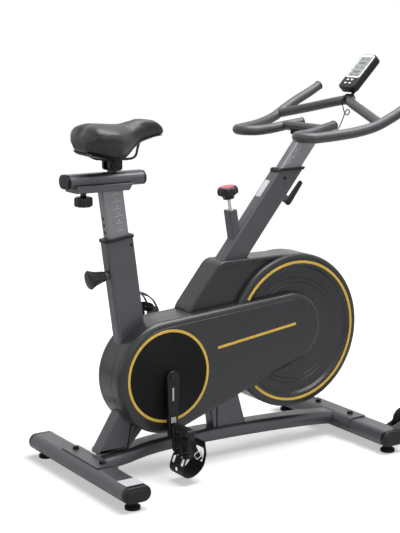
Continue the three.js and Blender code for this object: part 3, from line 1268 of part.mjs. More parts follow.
function braceBar(radius, sides = 16) {
  return solid(crossRod(radius, braceX, braceHeight, -BRACE_HALF_LENGTH, BRACE_HALF_LENGTH, sides));
}

const mountLow = HEAD_POST_TOP_HEIGHT;
const mount = cut(
  solid(block(braceX - MOUNT_BACK, braceX + MOUNT_FRONT, -MOUNT_WIDTH / 2, MOUNT_WIDTH / 2, mountLow,
    braceHeight - 2)),
  braceBar(GRIP_RADIUS + FIT),
);
const headPost = cut(
  headPostVolume(0, HEAD_POST_BOTTOM, 400), above(mountLow + 0.5), headPostVolume(-STEEL_WALL, HEAD_POST_BOTTOM - 5, 235),
);
addPiece('handlebar_post', join(headPost, mount), POST_FINISH, headGroup);

const headCollarTop = HEAD_TUBE_TOP_HEIGHT + COLLAR_HEIGHT;
const sleeveLow = HEAD_TUBE_TOP_HEIGHT - COLLAR_SLEEVE;
const headCollar = cut(
  join(
    cut(headTubeVolume(COLLAR_MARGIN, 0), above(headCollarTop),
      solid(block(-FAR, FAR, -FAR, FAR, 0, HEAD_TUBE_TOP_HEIGHT + FIT))),
    cut(headTubeVolume(-STEEL_WALL - FIT, 0), above(HEAD_TUBE_TOP_HEIGHT + FIT + 1),
      solid(block(-FAR, FAR, -FAR, FAR, 0, sleeveLow))),
  ),
  headPostVolume(FIT, -100, 500),
  leverBar(boreRadius(LEVER_STUD_RADIUS, FIT, 12), 0, headFrontFace + 2),
);
addPiece('head_tube_collar', headCollar, BLACK_PLASTIC, headGroup);

// Clamp lever: stud, hub and handle
const studTip = HEAD_POST_DEPTH / 2 + FIT;
const hubNear = headFrontFace + LEVER_BOSS_LENGTH + FIT;
const hubFar = hubNear + LEVER_HUB_LENGTH;
const handleOutline = wrapOutline(0, 0, LEVER_HUB_RADIUS, 0, LEVER_LENGTH, LEVER_TIP_RADIUS);
const handle = extrusion(handleOutline, LEVER_THICKNESS, 2, 2).rotateX(90 * DEG).rotateZ(90 * DEG)
  .translate(hubFar - LEVER_THICKNESS, 0, LEVER_ALONG);
addPiece('clamp_lever', join(leverBar(LEVER_STUD_RADIUS, studTip, hubNear + 1),
  leverBar(LEVER_HUB_RADIUS, hubNear, hubFar), solid(handle, headFrame)), KNOB_PLASTIC, headGroup);

// Handlebar: two looped side bars, the front crossbar and the brace, welded into one

// The place of a point that is measured from the middle of the brace, on one side of the bike.
function barPoint([x, y, z], side) {
  return [braceX + x, side * y, braceHeight + z];
}

function sideBarPoints(side) {
  const loop = [];
  const [middleX, middleY, middleZ] = BAR_LOOP_MIDDLE;
  for (let angle = -60; angle <= 60; angle += 30) {
    const reach = BAR_LOOP_RADIUS * Math.cos(angle * DEG);
    loop.push([middleX - reach, middleY + BAR_LOOP_RADIUS * Math.sin(angle * DEG), middleZ]);
  }
  return [BAR_STUB, ...BAR_INNER_LEG, ...loop, ...BAR_OUTER_LEG, ...BAR_HORN].map((p) => barPoint(p, side));
}

const [apexX, , apexZ] = barPoint(CROSSBAR_APEX, 1);

function crossbarPoints() {
  const left = CROSSBAR_SIDE.map((p) => barPoint(p, 1));
  const right = CROSSBAR_SIDE.map((p) => barPoint(p, -1)).reverse();
  return [...left, [apexX, 0, apexZ], ...right];
}

function extended(points, reach) {
  const longer = points.map((p) => [...p]);
  for (const [end, next] of [[0, 1], [points.length - 1, points.length - 2]]) {
    const from = new THREE.Vector3(...points[next]);
    const to = new THREE.Vector3(...points[end]);
    const step = to.clone().sub(from).normalize().multiplyScalar(reach);
    longer[end] = to.add(step).toArray();
  }
  return longer;
}

const barBore = GRIP_RADIUS - GRIP_WALL;
const barSolids = [sideBarPoints(1), sideBarPoints(-1)].map((p) => solid(tubeAlong(p, GRIP_RADIUS, 8)));
const barBores = [sideBarPoints(1), sideBarPoints(-1)].map((p) => solid(tubeAlong(extended(p, 2), barBore, 4)));
const crossbar = solid(tubeAlong(crossbarPoints(), GRIP_RADIUS, 8, 2));
const handlebar = cut(
  join(...barSolids, crossbar, braceBar(GRIP_RADIUS)),
  ...barBores,
);
addPiece('handlebar', handlebar, FRAME_PAINT);

// Console, its clip and stalk, and four buttons

const consolePinX = apexX + CONSOLE_PIVOT_REACH;
const consolePinHeight = apexZ + CONSOLE_PIVOT_RISE;
const consoleFrame = makeFrame(consolePinX, 0, consolePinHeight, CONSOLE_TILT);
const consoleGroup = subAssembly(consoleFrame);
const consoleBack = -CONSOLE_PIVOT_DEPTH;
const consoleFace = consoleBack - CONSOLE_THICKNESS;
const consoleLow = -CONSOLE_PIVOT_INSET;

// In the console's own frame, -X is the side with the display and +Z points to its upper edge.
function consoleBox() {
  const outline = roundedRect(CONSOLE_LENGTH, CONSOLE_WIDTH, CONSOLE_CORNER);
  return extrusion(outline, CONSOLE_THICKNESS, 2, 4).rotateY(90 * DEG)
    .translate(consoleFace, 0, consoleLow + CONSOLE_LENGTH / 2);
}

const buttonPlaces = [];
for (const row of [0, 1]) {
  for (const side of [-1, 1]) {
    buttonPlaces.push([side * BUTTON_SPACING[1] / 2, consoleLow + BUTTON_ROW_INSET + row * BUTTON_SPACING[0]]);
  }
}

function buttonBox(y, z, growth, depth, stand) {
  const [w, h] = BUTTON_SIZE;
  return solid(block(consoleFace - stand, consoleFace + depth, y - w / 2 - growth, y + w / 2 + growth,
    z - h / 2 - growth, z + h / 2 + growth), consoleFrame);
}

const tongueWidth = 10;
const lugWidth = 5;
const lugRadius = 7;
const consoleLugs = [-1, 1].map((side) => {
  const inner = side * (tongueWidth / 2 + FIT + 0.2);
  const outer = side * (tongueWidth / 2 + FIT + 0.2 + lugWidth);
  const [low, high] = [Math.min(inner, outer), Math.max(inner, outer)];
  return join(solid(crossRod(lugRadius, 0, 0, low, high, 16), consoleFrame),
    solid(block(consoleBack - 1, 0, low, high, -lugRadius, lugRadius), consoleFrame));
});
const lugReach = tongueWidth / 2 + FIT + 0.2 + lugWidth;
const lugBolt = solid(crossRod(2.5, 0, 0, -lugReach, lugReach, 12), consoleFrame);
const consoleBody = cut(
  solid(consoleBox(), consoleFrame),
  ...buttonPlaces.map(([y, z]) => buttonBox(y, z, FIT, BUTTON_POCKET, 1)),
);
addPiece('console', join(consoleBody, ...consoleLugs, lugBolt), BLACK_PLASTIC, consoleGroup);
buttonPlaces.forEach(([y, z], i) => {
  addPiece(`console_button_${i + 1}`, buttonBox(y, z, 0, BUTTON_POCKET - BUTTON_TRAVEL - FIT, BUTTON_STAND),
    BUTTON_WHITE, consoleGroup);
});

const clipRadius = GRIP_RADIUS + FIT + CLIP_WALL;
const stalkPath = [[apexX + 9, 0, apexZ + 12], [apexX + 15, 0, apexZ + clipRadius + 1],
  [consolePinX, 0, consolePinHeight - 2]];
const gland = new THREE.CylinderGeometry(GLAND_RADIUS, GLAND_RADIUS, GLAND_LENGTH, 10).rotateZ(90 * DEG)
  .translate(apexX - clipRadius + CLIP_WALL - GLAND_LENGTH / 2, 0, apexZ + GLAND_RISE);
const consoleClip = cut(
  join(solid(crossRod(clipRadius, apexX, apexZ, -CLIP_WIDTH / 2, CLIP_WIDTH / 2, 16)),
    solid(tubeAlong(stalkPath, STALK_RADIUS, 8, 2)), solid(gland),
    solid(crossRod(lugRadius - 1, consolePinX, consolePinHeight, -tongueWidth / 2, tongueWidth / 2, 16))),
  solid(tubeAlong(crossbarPoints(), GRIP_RADIUS + FIT, 8, 2)),
  solid(crossRod(boreRadius(2.5, FIT, 12), consolePinX, consolePinHeight, -20, 20, 12)),
);
addPiece('console_clip', consoleClip, BLACK_PLASTIC);

const wire = tubeAlong(WIRE_ROUTE, WIRE_RADIUS, 8, 2);
addPiece('console_wire', solid(wire), RUBBER);

// Brake knob, rod and pad

const knobLow = BRAKE_ROD_TOP - BRAKE_KNOB_NECK;
const brakeKnobProfile = [
  [boreRadius(BRAKE_ROD_RADIUS, FIT, 12), knobLow], [17, knobLow], [20, knobLow + 8], [BRAKE_KNOB_RADIUS - 5, knobLow + 12],
  [BRAKE_KNOB_RADIUS, knobLow + 17], [BRAKE_KNOB_RADIUS, knobLow + BRAKE_KNOB_HEIGHT - 2],
  [BRAKE_KNOB_RADIUS - 6, knobLow + BRAKE_KNOB_HEIGHT + 5], [0, knobLow + BRAKE_KNOB_HEIGHT + 7],
  [0, BRAKE_ROD_TOP + FIT], [boreRadius(BRAKE_ROD_RADIUS, FIT, 12), BRAKE_ROD_TOP + FIT],
  [boreRadius(BRAKE_ROD_RADIUS, FIT, 12), knobLow],
];
addPiece('brake_knob', solid(turned(brakeKnobProfile, 16).rotateX(90 * DEG), brakeFrame), KNOB_PLASTIC, brakeGroup);

// The pad sits where the rod's axis comes to the flywheel's rim.
const rodDirection = new THREE.Vector2(Math.sin(BRAKE_TILT * DEG), Math.cos(BRAKE_TILT * DEG));
const toWheel = new THREE.Vector2(FLYWHEEL_X - BRAKE_AXIS_X, FLYWHEEL_HEIGHT - BRAKE_AXIS_HEIGHT);
const alongRod = toWheel.dot(rodDirection);
const offAxis = Math.abs(toWheel.x * rodDirection.y - toWheel.y * rodDirection.x);
const padRadius = FLYWHEEL_RADIUS + PAD_GAP;
const padTouch = alongRod + Math.sqrt(padRadius ** 2 - offAxis ** 2);
const padTop = padTouch + PAD_THICKNESS + 18;
const rodFoot = padTop + FIT;
addPiece('brake_rod', brakeBar(BRAKE_ROD_RADIUS, rodFoot, BRAKE_ROD_TOP), BRIGHT_STEEL, brakeGroup);

const padBlock = solid(block(-PAD_LENGTH / 2, PAD_LENGTH / 2, -PAD_WIDTH / 2, PAD_WIDTH / 2,
  padTouch - 40, padTop), brakeFrame);
const padHollow = solid(crossRod(padRadius, FLYWHEEL_X, FLYWHEEL_HEIGHT, -PAD_WIDTH, PAD_WIDTH, 72));
const brakePad = cut(padBlock, padHollow, headTubeEnvelope);
addPiece('brake_pad', brakePad, RUBBER, brakeGroup);

// Origin: the middle of the footprint, on the floor
const footprint = new THREE.Box3().setFromObject(bike, true);
bike.position.x = -(footprint.min.x + footprint.max.x) / 2;

export default bike;
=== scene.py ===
"""Indoor spin bike, dressed and lit for its photograph.

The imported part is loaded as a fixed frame, and every sub-assembly of the bike is a class that holds its sizes as
fields, works out its surfaces with numpy and lays its finishes on them. Lengths are in millimetres. X runs to the
front of the bike from the crank's axis, Y to its left from the middle plane, and Z up from the floor.
"""

from __future__ import annotations

import json
import logging
import math
from dataclasses import dataclass
from enum import Enum
from typing import Sequence

import bmesh
import bpy
import numpy as np
from mathutils import Matrix, Vector
from mathutils.bvhtree import BVHTree


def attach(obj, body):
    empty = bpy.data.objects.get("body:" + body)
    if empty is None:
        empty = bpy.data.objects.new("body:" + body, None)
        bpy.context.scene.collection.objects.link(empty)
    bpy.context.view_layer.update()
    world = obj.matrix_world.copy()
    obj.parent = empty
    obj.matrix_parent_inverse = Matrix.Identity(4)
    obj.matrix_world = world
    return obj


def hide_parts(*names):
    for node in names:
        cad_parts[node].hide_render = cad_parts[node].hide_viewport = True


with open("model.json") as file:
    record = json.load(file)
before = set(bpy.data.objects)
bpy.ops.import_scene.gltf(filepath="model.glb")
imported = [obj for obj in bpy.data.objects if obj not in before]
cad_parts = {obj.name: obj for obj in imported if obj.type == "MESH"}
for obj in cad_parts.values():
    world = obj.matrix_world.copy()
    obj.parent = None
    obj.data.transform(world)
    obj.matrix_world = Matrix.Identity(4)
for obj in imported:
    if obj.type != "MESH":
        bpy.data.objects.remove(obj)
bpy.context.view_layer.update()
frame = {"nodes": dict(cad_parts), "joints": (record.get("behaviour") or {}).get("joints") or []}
LOG = logging.getLogger("spin_bike")
CRANK_X = next(joint["pos_m"][0] for joint in frame["joints"] if joint["name"] == "crank_spin")
CRANK_SHIFT = [CRANK_X * 1000, 0, 0]


# Outlines and paths


def rounded(points: Sequence, radii: float | Sequence, steps: int = 5) -> np.ndarray:
    """A closed polygon with an arc at each corner.

    An arc's centre lies on the corner's bisector, at radius / sin(half the inner angle) from the corner, and the arc
    swings evenly between the two points where it touches the sides.

    Args:
        points: The polygon's corners in order.
        radii: One radius, or one for each corner.
        steps: How many chords make an arc.

    Returns:
        The outline's points, shaped (n, 2).
    """
    corner = np.asarray(points, float)
    radius = np.broadcast_to(np.asarray(radii, float), len(corner))[:, None]
    before = np.roll(corner, 1, 0) - corner
    after = np.roll(corner, -1, 0) - corner
    before = before / np.linalg.norm(before, axis=1, keepdims=True)
    after = after / np.linalg.norm(after, axis=1, keepdims=True)
    half = 0.5 * np.arccos(np.clip((before * after).sum(1, keepdims=True), -1, 1))
    bisector = before + after
    bisector = bisector / np.maximum(np.linalg.norm(bisector, axis=1, keepdims=True), 1e-9)
    centre = corner + bisector * radius / np.sin(half)
    start = corner + before * radius / np.tan(half) - centre
    end = corner + after * radius / np.tan(half) - centre
    swing = np.maximum(np.pi - 2 * half, 1e-6)[:, None]
    share = np.linspace(0, 1, steps + 1)[None, :, None]
    arc = (np.sin((1 - share) * swing) * start[:, None] + np.sin(share * swing) * end[:, None]) / np.sin(swing)
    return (centre[:, None] + arc).reshape(-1, 2)


def box_section(width: float, height: float, corner: float, steps: int = 5) -> np.ndarray:
    """The section of a box tube: a rectangle with equal rounded corners, about its middle."""
    w, h = width / 2, height / 2
    return rounded([(w, -h), (w, h), (-w, h), (-w, -h)], corner, steps)


def oval_section(width: float, height: float, steps: int = 16) -> np.ndarray:
    """A flat oval, wider than it is high: two half circles joined by two straight sides."""
    turn = np.linspace(-np.pi / 2, np.pi / 2, steps + 1)
    radius = height / 2
    end = np.column_stack([(width - height) / 2 + radius * np.cos(turn), radius * np.sin(turn)])
    return np.concatenate([end, -end])


def circle(radius: float, sides: int = 32, x: float = 0.0, z: float = 0.0) -> np.ndarray:
    """A circle as (x + r cos t, z + r sin t)."""
    turn = np.linspace(0, 2 * np.pi, sides, endpoint=False)
    return np.column_stack([x + radius * np.cos(turn), z + radius * np.sin(turn)])


def wrap(start: Sequence, start_radius: float, end: Sequence, end_radius: float, steps: int = 32) -> np.ndarray:
    """The outline of a band drawn tight round two circles.

    The outer tangents touch each circle at the angle arccos((r0 - r1) / distance) from the line of centres.

    Args:
        start: The first circle's centre.
        start_radius: Its radius.
        end: The second circle's centre.
        end_radius: Its radius.
        steps: How many chords make each arc.

    Returns:
        The outline's points, anticlockwise.
    """
    first, second = np.asarray(start, float), np.asarray(end, float)
    line = second - first
    heading = math.atan2(line[1], line[0])
    touch = math.acos((start_radius - end_radius) / np.linalg.norm(line))
    near = heading + np.linspace(-touch, touch, steps + 1)
    far = heading + np.linspace(touch, 2 * np.pi - touch, steps + 1)
    return np.concatenate([
        second + end_radius * np.column_stack([np.cos(near), np.sin(near)]),
        first + start_radius * np.column_stack([np.cos(far), np.sin(far)]),
    ])


def tidy(outline: np.ndarray) -> np.ndarray:
    """The outline without points that repeat the one before them."""
    step = np.linalg.norm(outline - np.roll(outline, 1, 0), axis=1)
    return outline[step > 1e-5]


def inset(outline: np.ndarray, distance: float) -> np.ndarray:
    """The outline moved inwards: each point goes along the mitre of its two edges' normals.

    Args:
        outline: A closed outline without repeated points.
        distance: How far in; a negative distance grows the outline.

    Returns:
        The moved points, as many as before.
    """
    ahead = np.roll(outline, -1, 0) - outline
    ahead = ahead / np.linalg.norm(ahead, axis=1, keepdims=True)
    normal = np.column_stack([-ahead[:, 1], ahead[:, 0]])
    behind = np.roll(normal, 1, 0)
    mitre = (normal + behind) / (1 + (normal * behind).sum(1, keepdims=True))
    following = np.roll(outline, -1, 0)
    area = (outline[:, 0] * following[:, 1] - following[:, 0] * outline[:, 1]).sum()
    return outline + mitre * distance * np.sign(area)


def smooth_path(points: Sequence, steps: int = 8) -> np.ndarray:
    """A smooth curve through the points: a centripetal Catmull-Rom spline.

    Each point's knot lies the square root of the chord further on, its tangent is the three-point difference over
    the knots, and a cubic Hermite piece joins each pair.

    Args:
        points: The points that the curve passes through, (n, k).
        steps: Chords in each piece.

    Returns:
        The curve's points, ((n - 1) * steps + 1, k).
    """
    knot = np.asarray(points, float)
    longer = np.concatenate([[2 * knot[0] - knot[1]], knot, [2 * knot[-1] - knot[-2]]])
    gap = np.sqrt(np.linalg.norm(np.diff(longer, axis=0), axis=1))[:, None]
    slope = np.diff(longer, axis=0) / gap
    tangent = slope[:-1] - (longer[2:] - longer[:-2]) / (gap[:-1] + gap[1:]) + slope[1:]
    t = np.linspace(0, 1, steps, endpoint=False)[None, :, None]
    p0, p1 = knot[:-1, None], knot[1:, None]
    m0, m1 = (tangent[:-1] * gap[1:-1])[:, None], (tangent[1:] * gap[1:-1])[:, None]
    curve = ((2 * t**3 - 3 * t**2 + 1) * p0 + (t**3 - 2 * t**2 + t) * m0
             + (-2 * t**3 + 3 * t**2) * p1 + (t**3 - t**2) * m1)
    return np.concatenate([curve.reshape(-1, knot.shape[1]), knot[-1:]])


def edged(low: float, high: float, radius: float, steps: int = 4, support: float = 1.5) -> np.ndarray:
    """The layers of a plate with rounded edges, for slab().

    Along an edge the inset is r (1 - cos t) and the distance from the face r (1 - sin t), t from 0 to 90 degrees.

    Args:
        low: Depth of the first face.
        high: Depth of the second face.
        radius: The edges' radius.
        steps: Chords in an edge's arc.
        support: How far in from the edge the flat face's first loop lies.

    Returns:
        Rows of (inset, depth, wear), where wear is 1 on the middle of an edge.
    """
    turn = np.linspace(0, np.pi / 2, steps + 1)
    rise = radius * (1 - np.sin(turn)) * np.sign(high - low)
    pull = radius * (1 - np.cos(turn))
    rub = np.sin(2 * turn)
    lower = np.column_stack([pull, low + rise, rub])[::-1]
    upper = np.column_stack([pull, high - rise, rub])
    return np.concatenate([[[radius + support, low, 0]], lower, upper, [[radius + support, high, 0]]])


# Surfaces


class Plane(Enum):
    """Where an outline and its depth go: the places of x, y and z among (first, second, depth)."""

    SIDE = (0, 2, 1)
    FLAT = (0, 1, 2)
    END = (2, 0, 1)


@dataclass(frozen=True)
class Axes:
    """Axes that lean about the crosswise Y, as a tube of the frame does."""

    x: float = 0.0
    z: float = 0.0
    tilt: float = 0.0
    y: float = 0.0

    def out(self, points: np.ndarray) -> np.ndarray:
        """Points of these axes in the bike's own: x' = x cos t + z sin t and z' = z cos t - x sin t, then moved."""
        cos, sin = math.cos(math.radians(self.tilt)), math.sin(math.radians(self.tilt))
        px, py, pz = points[..., 0], points[..., 1], points[..., 2]
        return np.stack([self.x + px * cos + pz * sin, self.y + py, self.z - px * sin + pz * cos], -1)

    def direction(self, x: float, y: float, z: float) -> np.ndarray:
        """A direction of these axes in the bike's own."""
        return Axes(tilt=self.tilt).out(np.array([x, y, z], float))


@dataclass
class Form:
    """A surface: points (n, 3), blocks of faces with equally many corners, and how worn each point is."""

    points: np.ndarray
    faces: list[np.ndarray]
    wear: np.ndarray

    def mirrored(self) -> Form:
        """The same form on the other side of the bike's middle plane."""
        return Form(self.points * [1, -1, 1], [block[:, ::-1] for block in self.faces], self.wear)


def joined(*forms: Form) -> Form:
    """Several forms as one, each kept as its own closed shell."""
    starts = np.cumsum([0] + [len(form.points) for form in forms[:-1]])
    faces = [block + start for form, start in zip(forms, starts) for block in form.faces]
    return Form(np.concatenate([f.points for f in forms]), faces, np.concatenate([f.wear for f in forms]))


def grid(points: np.ndarray, caps: bool = True, ring: bool = True, loop: bool = False,
         wear: np.ndarray | None = None, keep: np.ndarray | None = None) -> Form:
    """The surface over a grid of points, one quad between each four neighbours.

    Args:
        points: The grid, (rows, columns, 3).
        caps: Whether the first and last rows are closed with a flat face.
        ring: Whether the last column joins the first.
        loop: Whether the last row joins the first.
        wear: How worn each row is.
        keep: A mask, (row gaps, column gaps), of the quads that are made; the others are holes.

    Returns:
        The form.
    """
    rows, columns = points.shape[:2]
    index = np.arange(rows * columns).reshape(rows, columns)
    around = np.concatenate([index, index[:, :1]], 1) if ring else index
    around = np.concatenate([around, around[:1]], 0) if loop else around
    quads = np.stack([around[:-1, :-1], around[:-1, 1:], around[1:, 1:], around[1:, :-1]], -1)
    faces = [quads[keep] if keep is not None else quads.reshape(-1, 4)]
    if caps and ring and not loop:
        faces += [index[:1], index[-1:, ::-1]]
    worn = np.zeros(rows) if wear is None else np.asarray(wear, float)
    return Form(points.reshape(-1, 3), faces, np.repeat(worn, columns))


def slab(outline: np.ndarray, layers: Sequence, plane: Plane = Plane.SIDE, axes: Axes = Axes(),
         caps: bool = True) -> Form:
    """A plate or a straight tube: the outline repeated at each layer's depth, moved in by the layer's inset.

    Args:
        outline: The closed outline.
        layers: Rows of (inset, depth) or (inset, depth, wear).
        plane: Which way the outline faces.
        axes: The axes that it is laid in.
        caps: Whether both ends are closed.

    Returns:
        The form.
    """
    clean = tidy(np.asarray(outline, float))
    rows = np.asarray(layers, float)
    rings = np.stack([np.column_stack([inset(clean, row[0]), np.full(len(clean), row[1])]) for row in rows])
    wear = rows[:, 2] if rows.shape[1] > 2 else None
    return grid(axes.out(rings[..., list(plane.value)]), caps, wear=wear)


def sweep(section: np.ndarray, path: np.ndarray, up: Sequence = (0, 0, 1), scale: np.ndarray | None = None,
          caps: bool = True) -> Form:
    """A section carried along a path.

    At each point the section's first axis is tangent x up, and its second that axis x tangent, both unit vectors.

    Args:
        section: The section, (n, 2).
        path: The path, (m, 3).
        up: A direction that the path never follows.
        scale: The section's size at each point of the path, (m,) or (m, 2).
        caps: Whether the ends are closed.

    Returns:
        The form.
    """
    line = np.asarray(path, float)
    tangent = np.gradient(line, axis=0)
    tangent = tangent / np.linalg.norm(tangent, axis=1, keepdims=True)
    side = np.cross(tangent, np.asarray(up, float))
    side = side / np.linalg.norm(side, axis=1, keepdims=True)
    lift = np.cross(side, tangent)
    size = np.ones((len(line), 2)) if scale is None else np.asarray(scale, float)
    size = np.repeat(size[:, None], 2, 1) if size.ndim == 1 else size
    flat = section[None] * size[:, None]
    return grid(line[:, None] + flat[..., :1] * side[:, None] + flat[..., 1:] * lift[:, None], caps)


def turned(profile: Sequence, centre: Sequence, direction: Sequence, sides: int = 64, loop: bool = False,
           flutes: int = 0, depth: float = 0.0, fluted: tuple[float, float] = (0.0, 0.0)) -> Form:
    """A turned piece: centre + radius (u cos t + v sin t) + along * axis, with optional flutes round its rim.

    A flute takes depth (1 + cos(n t)) / 2 off the radius of the profile's points that lie in the fluted stretch.

    Args:
        profile: Rows of (radius, along).
        centre: A point of the axis.
        direction: The axis.
        sides: Points round the axis.
        loop: Whether the profile is a closed ring.
        flutes: How many flutes, n above.
        depth: Their depth.
        fluted: The stretch of along that they cover.

    Returns:
        The form.
    """
    rows = np.asarray(profile, float)
    axis = np.asarray(direction, float) / np.linalg.norm(direction)
    across = np.cross(axis, [0.0, 1.0, 0.0] if abs(axis[1]) < 0.9 else [1.0, 0.0, 0.0])
    across = across / np.linalg.norm(across)
    other = np.cross(axis, across)
    turn = np.linspace(0, 2 * np.pi, sides, endpoint=False)
    marked = (rows[:, 1] >= fluted[0]) & (rows[:, 1] <= fluted[1]) & (flutes > 0)
    radius = rows[:, :1] - marked[:, None] * depth * (1 + np.cos(flutes * turn))[None] / 2
    rim = np.cos(turn)[:, None] * across + np.sin(turn)[:, None] * other
    points = np.asarray(centre, float) + radius[..., None] * rim[None] + rows[:, 1, None, None] * axis
    return grid(points, not loop, loop=loop)


def rod(start: Sequence, end: Sequence, radius: float, sides: int = 32, edge: float = 0.6) -> Form:
    """A round bar between two points, its ends' edges eased."""
    first, last = np.asarray(start, float), np.asarray(end, float)
    length = float(np.linalg.norm(last - first))
    profile = [(0, 0), (radius - edge, 0), (radius, edge), (radius, length - edge), (radius - edge, length),
               (0, length)]
    return turned(profile, first, last - first, sides)


def hexagon(across_flats: float, height: float, centre: Sequence, direction: Sequence) -> Form:
    """A bolt's head: a six-sided turned piece with a domed top and a chamfer."""
    radius = across_flats / math.sqrt(3)
    profile = [(0, 0), (radius, 0), (radius, height * 0.86), (radius * 0.88, height), (radius * 0.5, height + 0.4),
               (0, height + 0.5)]
    return turned(profile, centre, direction, 6)


def washer(outer: float, inner: float, thickness: float, centre: Sequence, direction: Sequence,
           sides: int = 40) -> Form:
    """A flat ring with eased edges, as a closed loop turned round its axis."""
    e = min(0.5, thickness / 3)
    profile = [(inner, 0), (outer - e, 0), (outer, e), (outer, thickness - e), (outer - e, thickness),
               (inner, thickness)]
    return turned(profile, centre, direction, sides, loop=True)


# Finishes


class Grain(Enum):
    """The fine relief of a finish."""

    PEEL = "orange peel of sprayed paint"
    SPARK = "spark eroded moulding"
    LEATHER = "pebbled leather"
    BRUSHED = "lines of a brush"
    CAST = "rough casting"


def node(nodes, kind: str, inputs: dict | None = None, **settings) -> bpy.types.ShaderNode:
    """Adds a shader node.

    Args:
        nodes: The tree's nodes.
        kind: The node's type, less its first word.
        inputs: Values of its sockets.
        settings: Values of its properties.

    Returns:
        The node.
    """
    made = nodes.new("ShaderNode" + kind)
    for name, value in settings.items():
        setattr(made, name, value)
    for name, value in (inputs or {}).items():
        made.inputs[name].default_value = value
    return made


def linear(colour: Sequence[float]) -> tuple[float, float, float, float]:
    """A display colour of 0 to 255 as linear red, green, blue and alpha."""
    share = np.asarray(colour, float) / 255
    value = np.where(share <= 0.04045, share / 12.92, ((share + 0.055) / 1.055) ** 2.4)
    return (float(value[0]), float(value[1]), float(value[2]), 1.0)


@dataclass(frozen=True)
class Finish:
    """A surface finish: its colour drifts over a hand's breadth, its gloss over a finger's, and it has a grain."""

    name: str
    colour: tuple[float, float, float]
    slot: str
    grain: Grain = Grain.SPARK
    roughness: float = 0.5
    metallic: float = 0.0
    drift: float = 0.07
    drift_scale: float = 14.0
    grain_scale: float = 1600.0
    grain_depth: float = 0.00006
    wear: float = 0.0
    coat: float = 0.0
    sheen: float = 0.0
    specular: float = 0.4
    lines: tuple[float, float, float] = (1.0, 1.0, 1.0)

    def material(self) -> bpy.types.Material:
        """The finish as a material of shader nodes, made once and then shared.

        Returns:
            The material.
        """
        known = bpy.data.materials.get(self.name)
        if known:
            return known
        made = bpy.data.materials.new(self.name)
        made.use_nodes = True
        nodes, links = made.node_tree.nodes, made.node_tree.links
        shader = nodes["Principled BSDF"]
        for socket, value in (("Metallic", self.metallic), ("Coat Weight", self.coat), ("Coat Roughness", 0.22),
                              ("Sheen Weight", self.sheen), ("Specular IOR Level", self.specular)):
            shader.inputs[socket].default_value = value
        place = nodes.new("ShaderNodeTexCoord").outputs["Object"]
        links.new(self._colour(nodes, links, place), shader.inputs["Base Color"])
        links.new(self._gloss(nodes, links, place), shader.inputs["Roughness"])
        links.new(self._relief(nodes, links, place), shader.inputs["Normal"])
        return made

    def _noise(self, nodes, links, place, scale: float, detail: float = 3.0):
        """A noise texture's grey output at a scale given in cycles a metre."""
        noise = node(nodes, "TexNoise", {"Scale": scale, "Detail": detail})
        links.new(place, noise.inputs["Vector"])
        return noise.outputs["Fac"]

    def _colour(self, nodes, links, place):
        """The base colour: a ramp from a darker to a lighter shade over broad noise, rubbed lighter at the edges."""
        ramp = nodes.new("ShaderNodeValToRGB")
        shade = np.array(linear(self.colour))
        low, high = ramp.color_ramp.elements
        low.position, high.position = 0.3, 0.7
        low.color = tuple(np.clip(shade * (1 - self.drift), 0, 1)[:3]) + (1.0,)
        high.color = tuple(np.clip(shade * (1 + self.drift), 0, 1)[:3]) + (1.0,)
        links.new(self._noise(nodes, links, place, self.drift_scale), ramp.inputs["Fac"])
        if not self.wear:
            return ramp.outputs["Color"]
        rub = node(nodes, "Attribute", attribute_name="wear")
        patchy = node(nodes, "MapRange", {"From Min": 0.35, "From Max": 0.75, "To Max": self.wear})
        links.new(self._noise(nodes, links, place, 90.0, 4.0), patchy.inputs["Value"])
        both = node(nodes, "Math", operation="MULTIPLY")
        links.new(rub.outputs["Fac"], both.inputs[0])
        links.new(patchy.outputs["Result"], both.inputs[1])
        mix = node(nodes, "Mix", data_type="RGBA")
        mix.inputs["B"].default_value = tuple(np.clip(shade[:3] * 2.2 + 0.02, 0, 1)) + (1.0,)
        links.new(both.outputs["Value"], mix.inputs["Factor"])
        links.new(ramp.outputs["Color"], mix.inputs["A"])
        return mix.outputs["Result"]

    def _gloss(self, nodes, links, place):
        """The roughness, which noise carries a little above and below its mean."""
        low, high = max(0.05, self.roughness - 0.05), min(1.0, self.roughness + 0.06)
        span = node(nodes, "MapRange", {"From Min": 0.3, "From Max": 0.7, "To Min": low, "To Max": high})
        links.new(self._noise(nodes, links, place, 55.0), span.inputs["Value"])
        return span.outputs["Result"]

    def _relief(self, nodes, links, place):
        """The grain as a bump, its depth in metres."""
        if self.grain is Grain.LEATHER:
            cells = node(nodes, "TexVoronoi", {"Scale": self.grain_scale}, feature="DISTANCE_TO_EDGE")
            links.new(place, cells.inputs["Vector"])
            height = cells.outputs["Distance"]
        elif self.grain is Grain.BRUSHED:
            stretch = node(nodes, "Mapping", {"Scale": self.lines})
            links.new(place, stretch.inputs["Vector"])
            height = self._noise(nodes, links, stretch.outputs["Vector"], self.grain_scale, 2.0)
        else:
            detail = {Grain.PEEL: 1.0, Grain.SPARK: 3.0, Grain.CAST: 5.0}[self.grain]
            height = self._noise(nodes, links, place, self.grain_scale, detail)
        bump = node(nodes, "Bump", {"Strength": 0.7, "Distance": self.grain_depth})
        links.new(height, bump.inputs["Height"])
        return bump.outputs["Normal"]


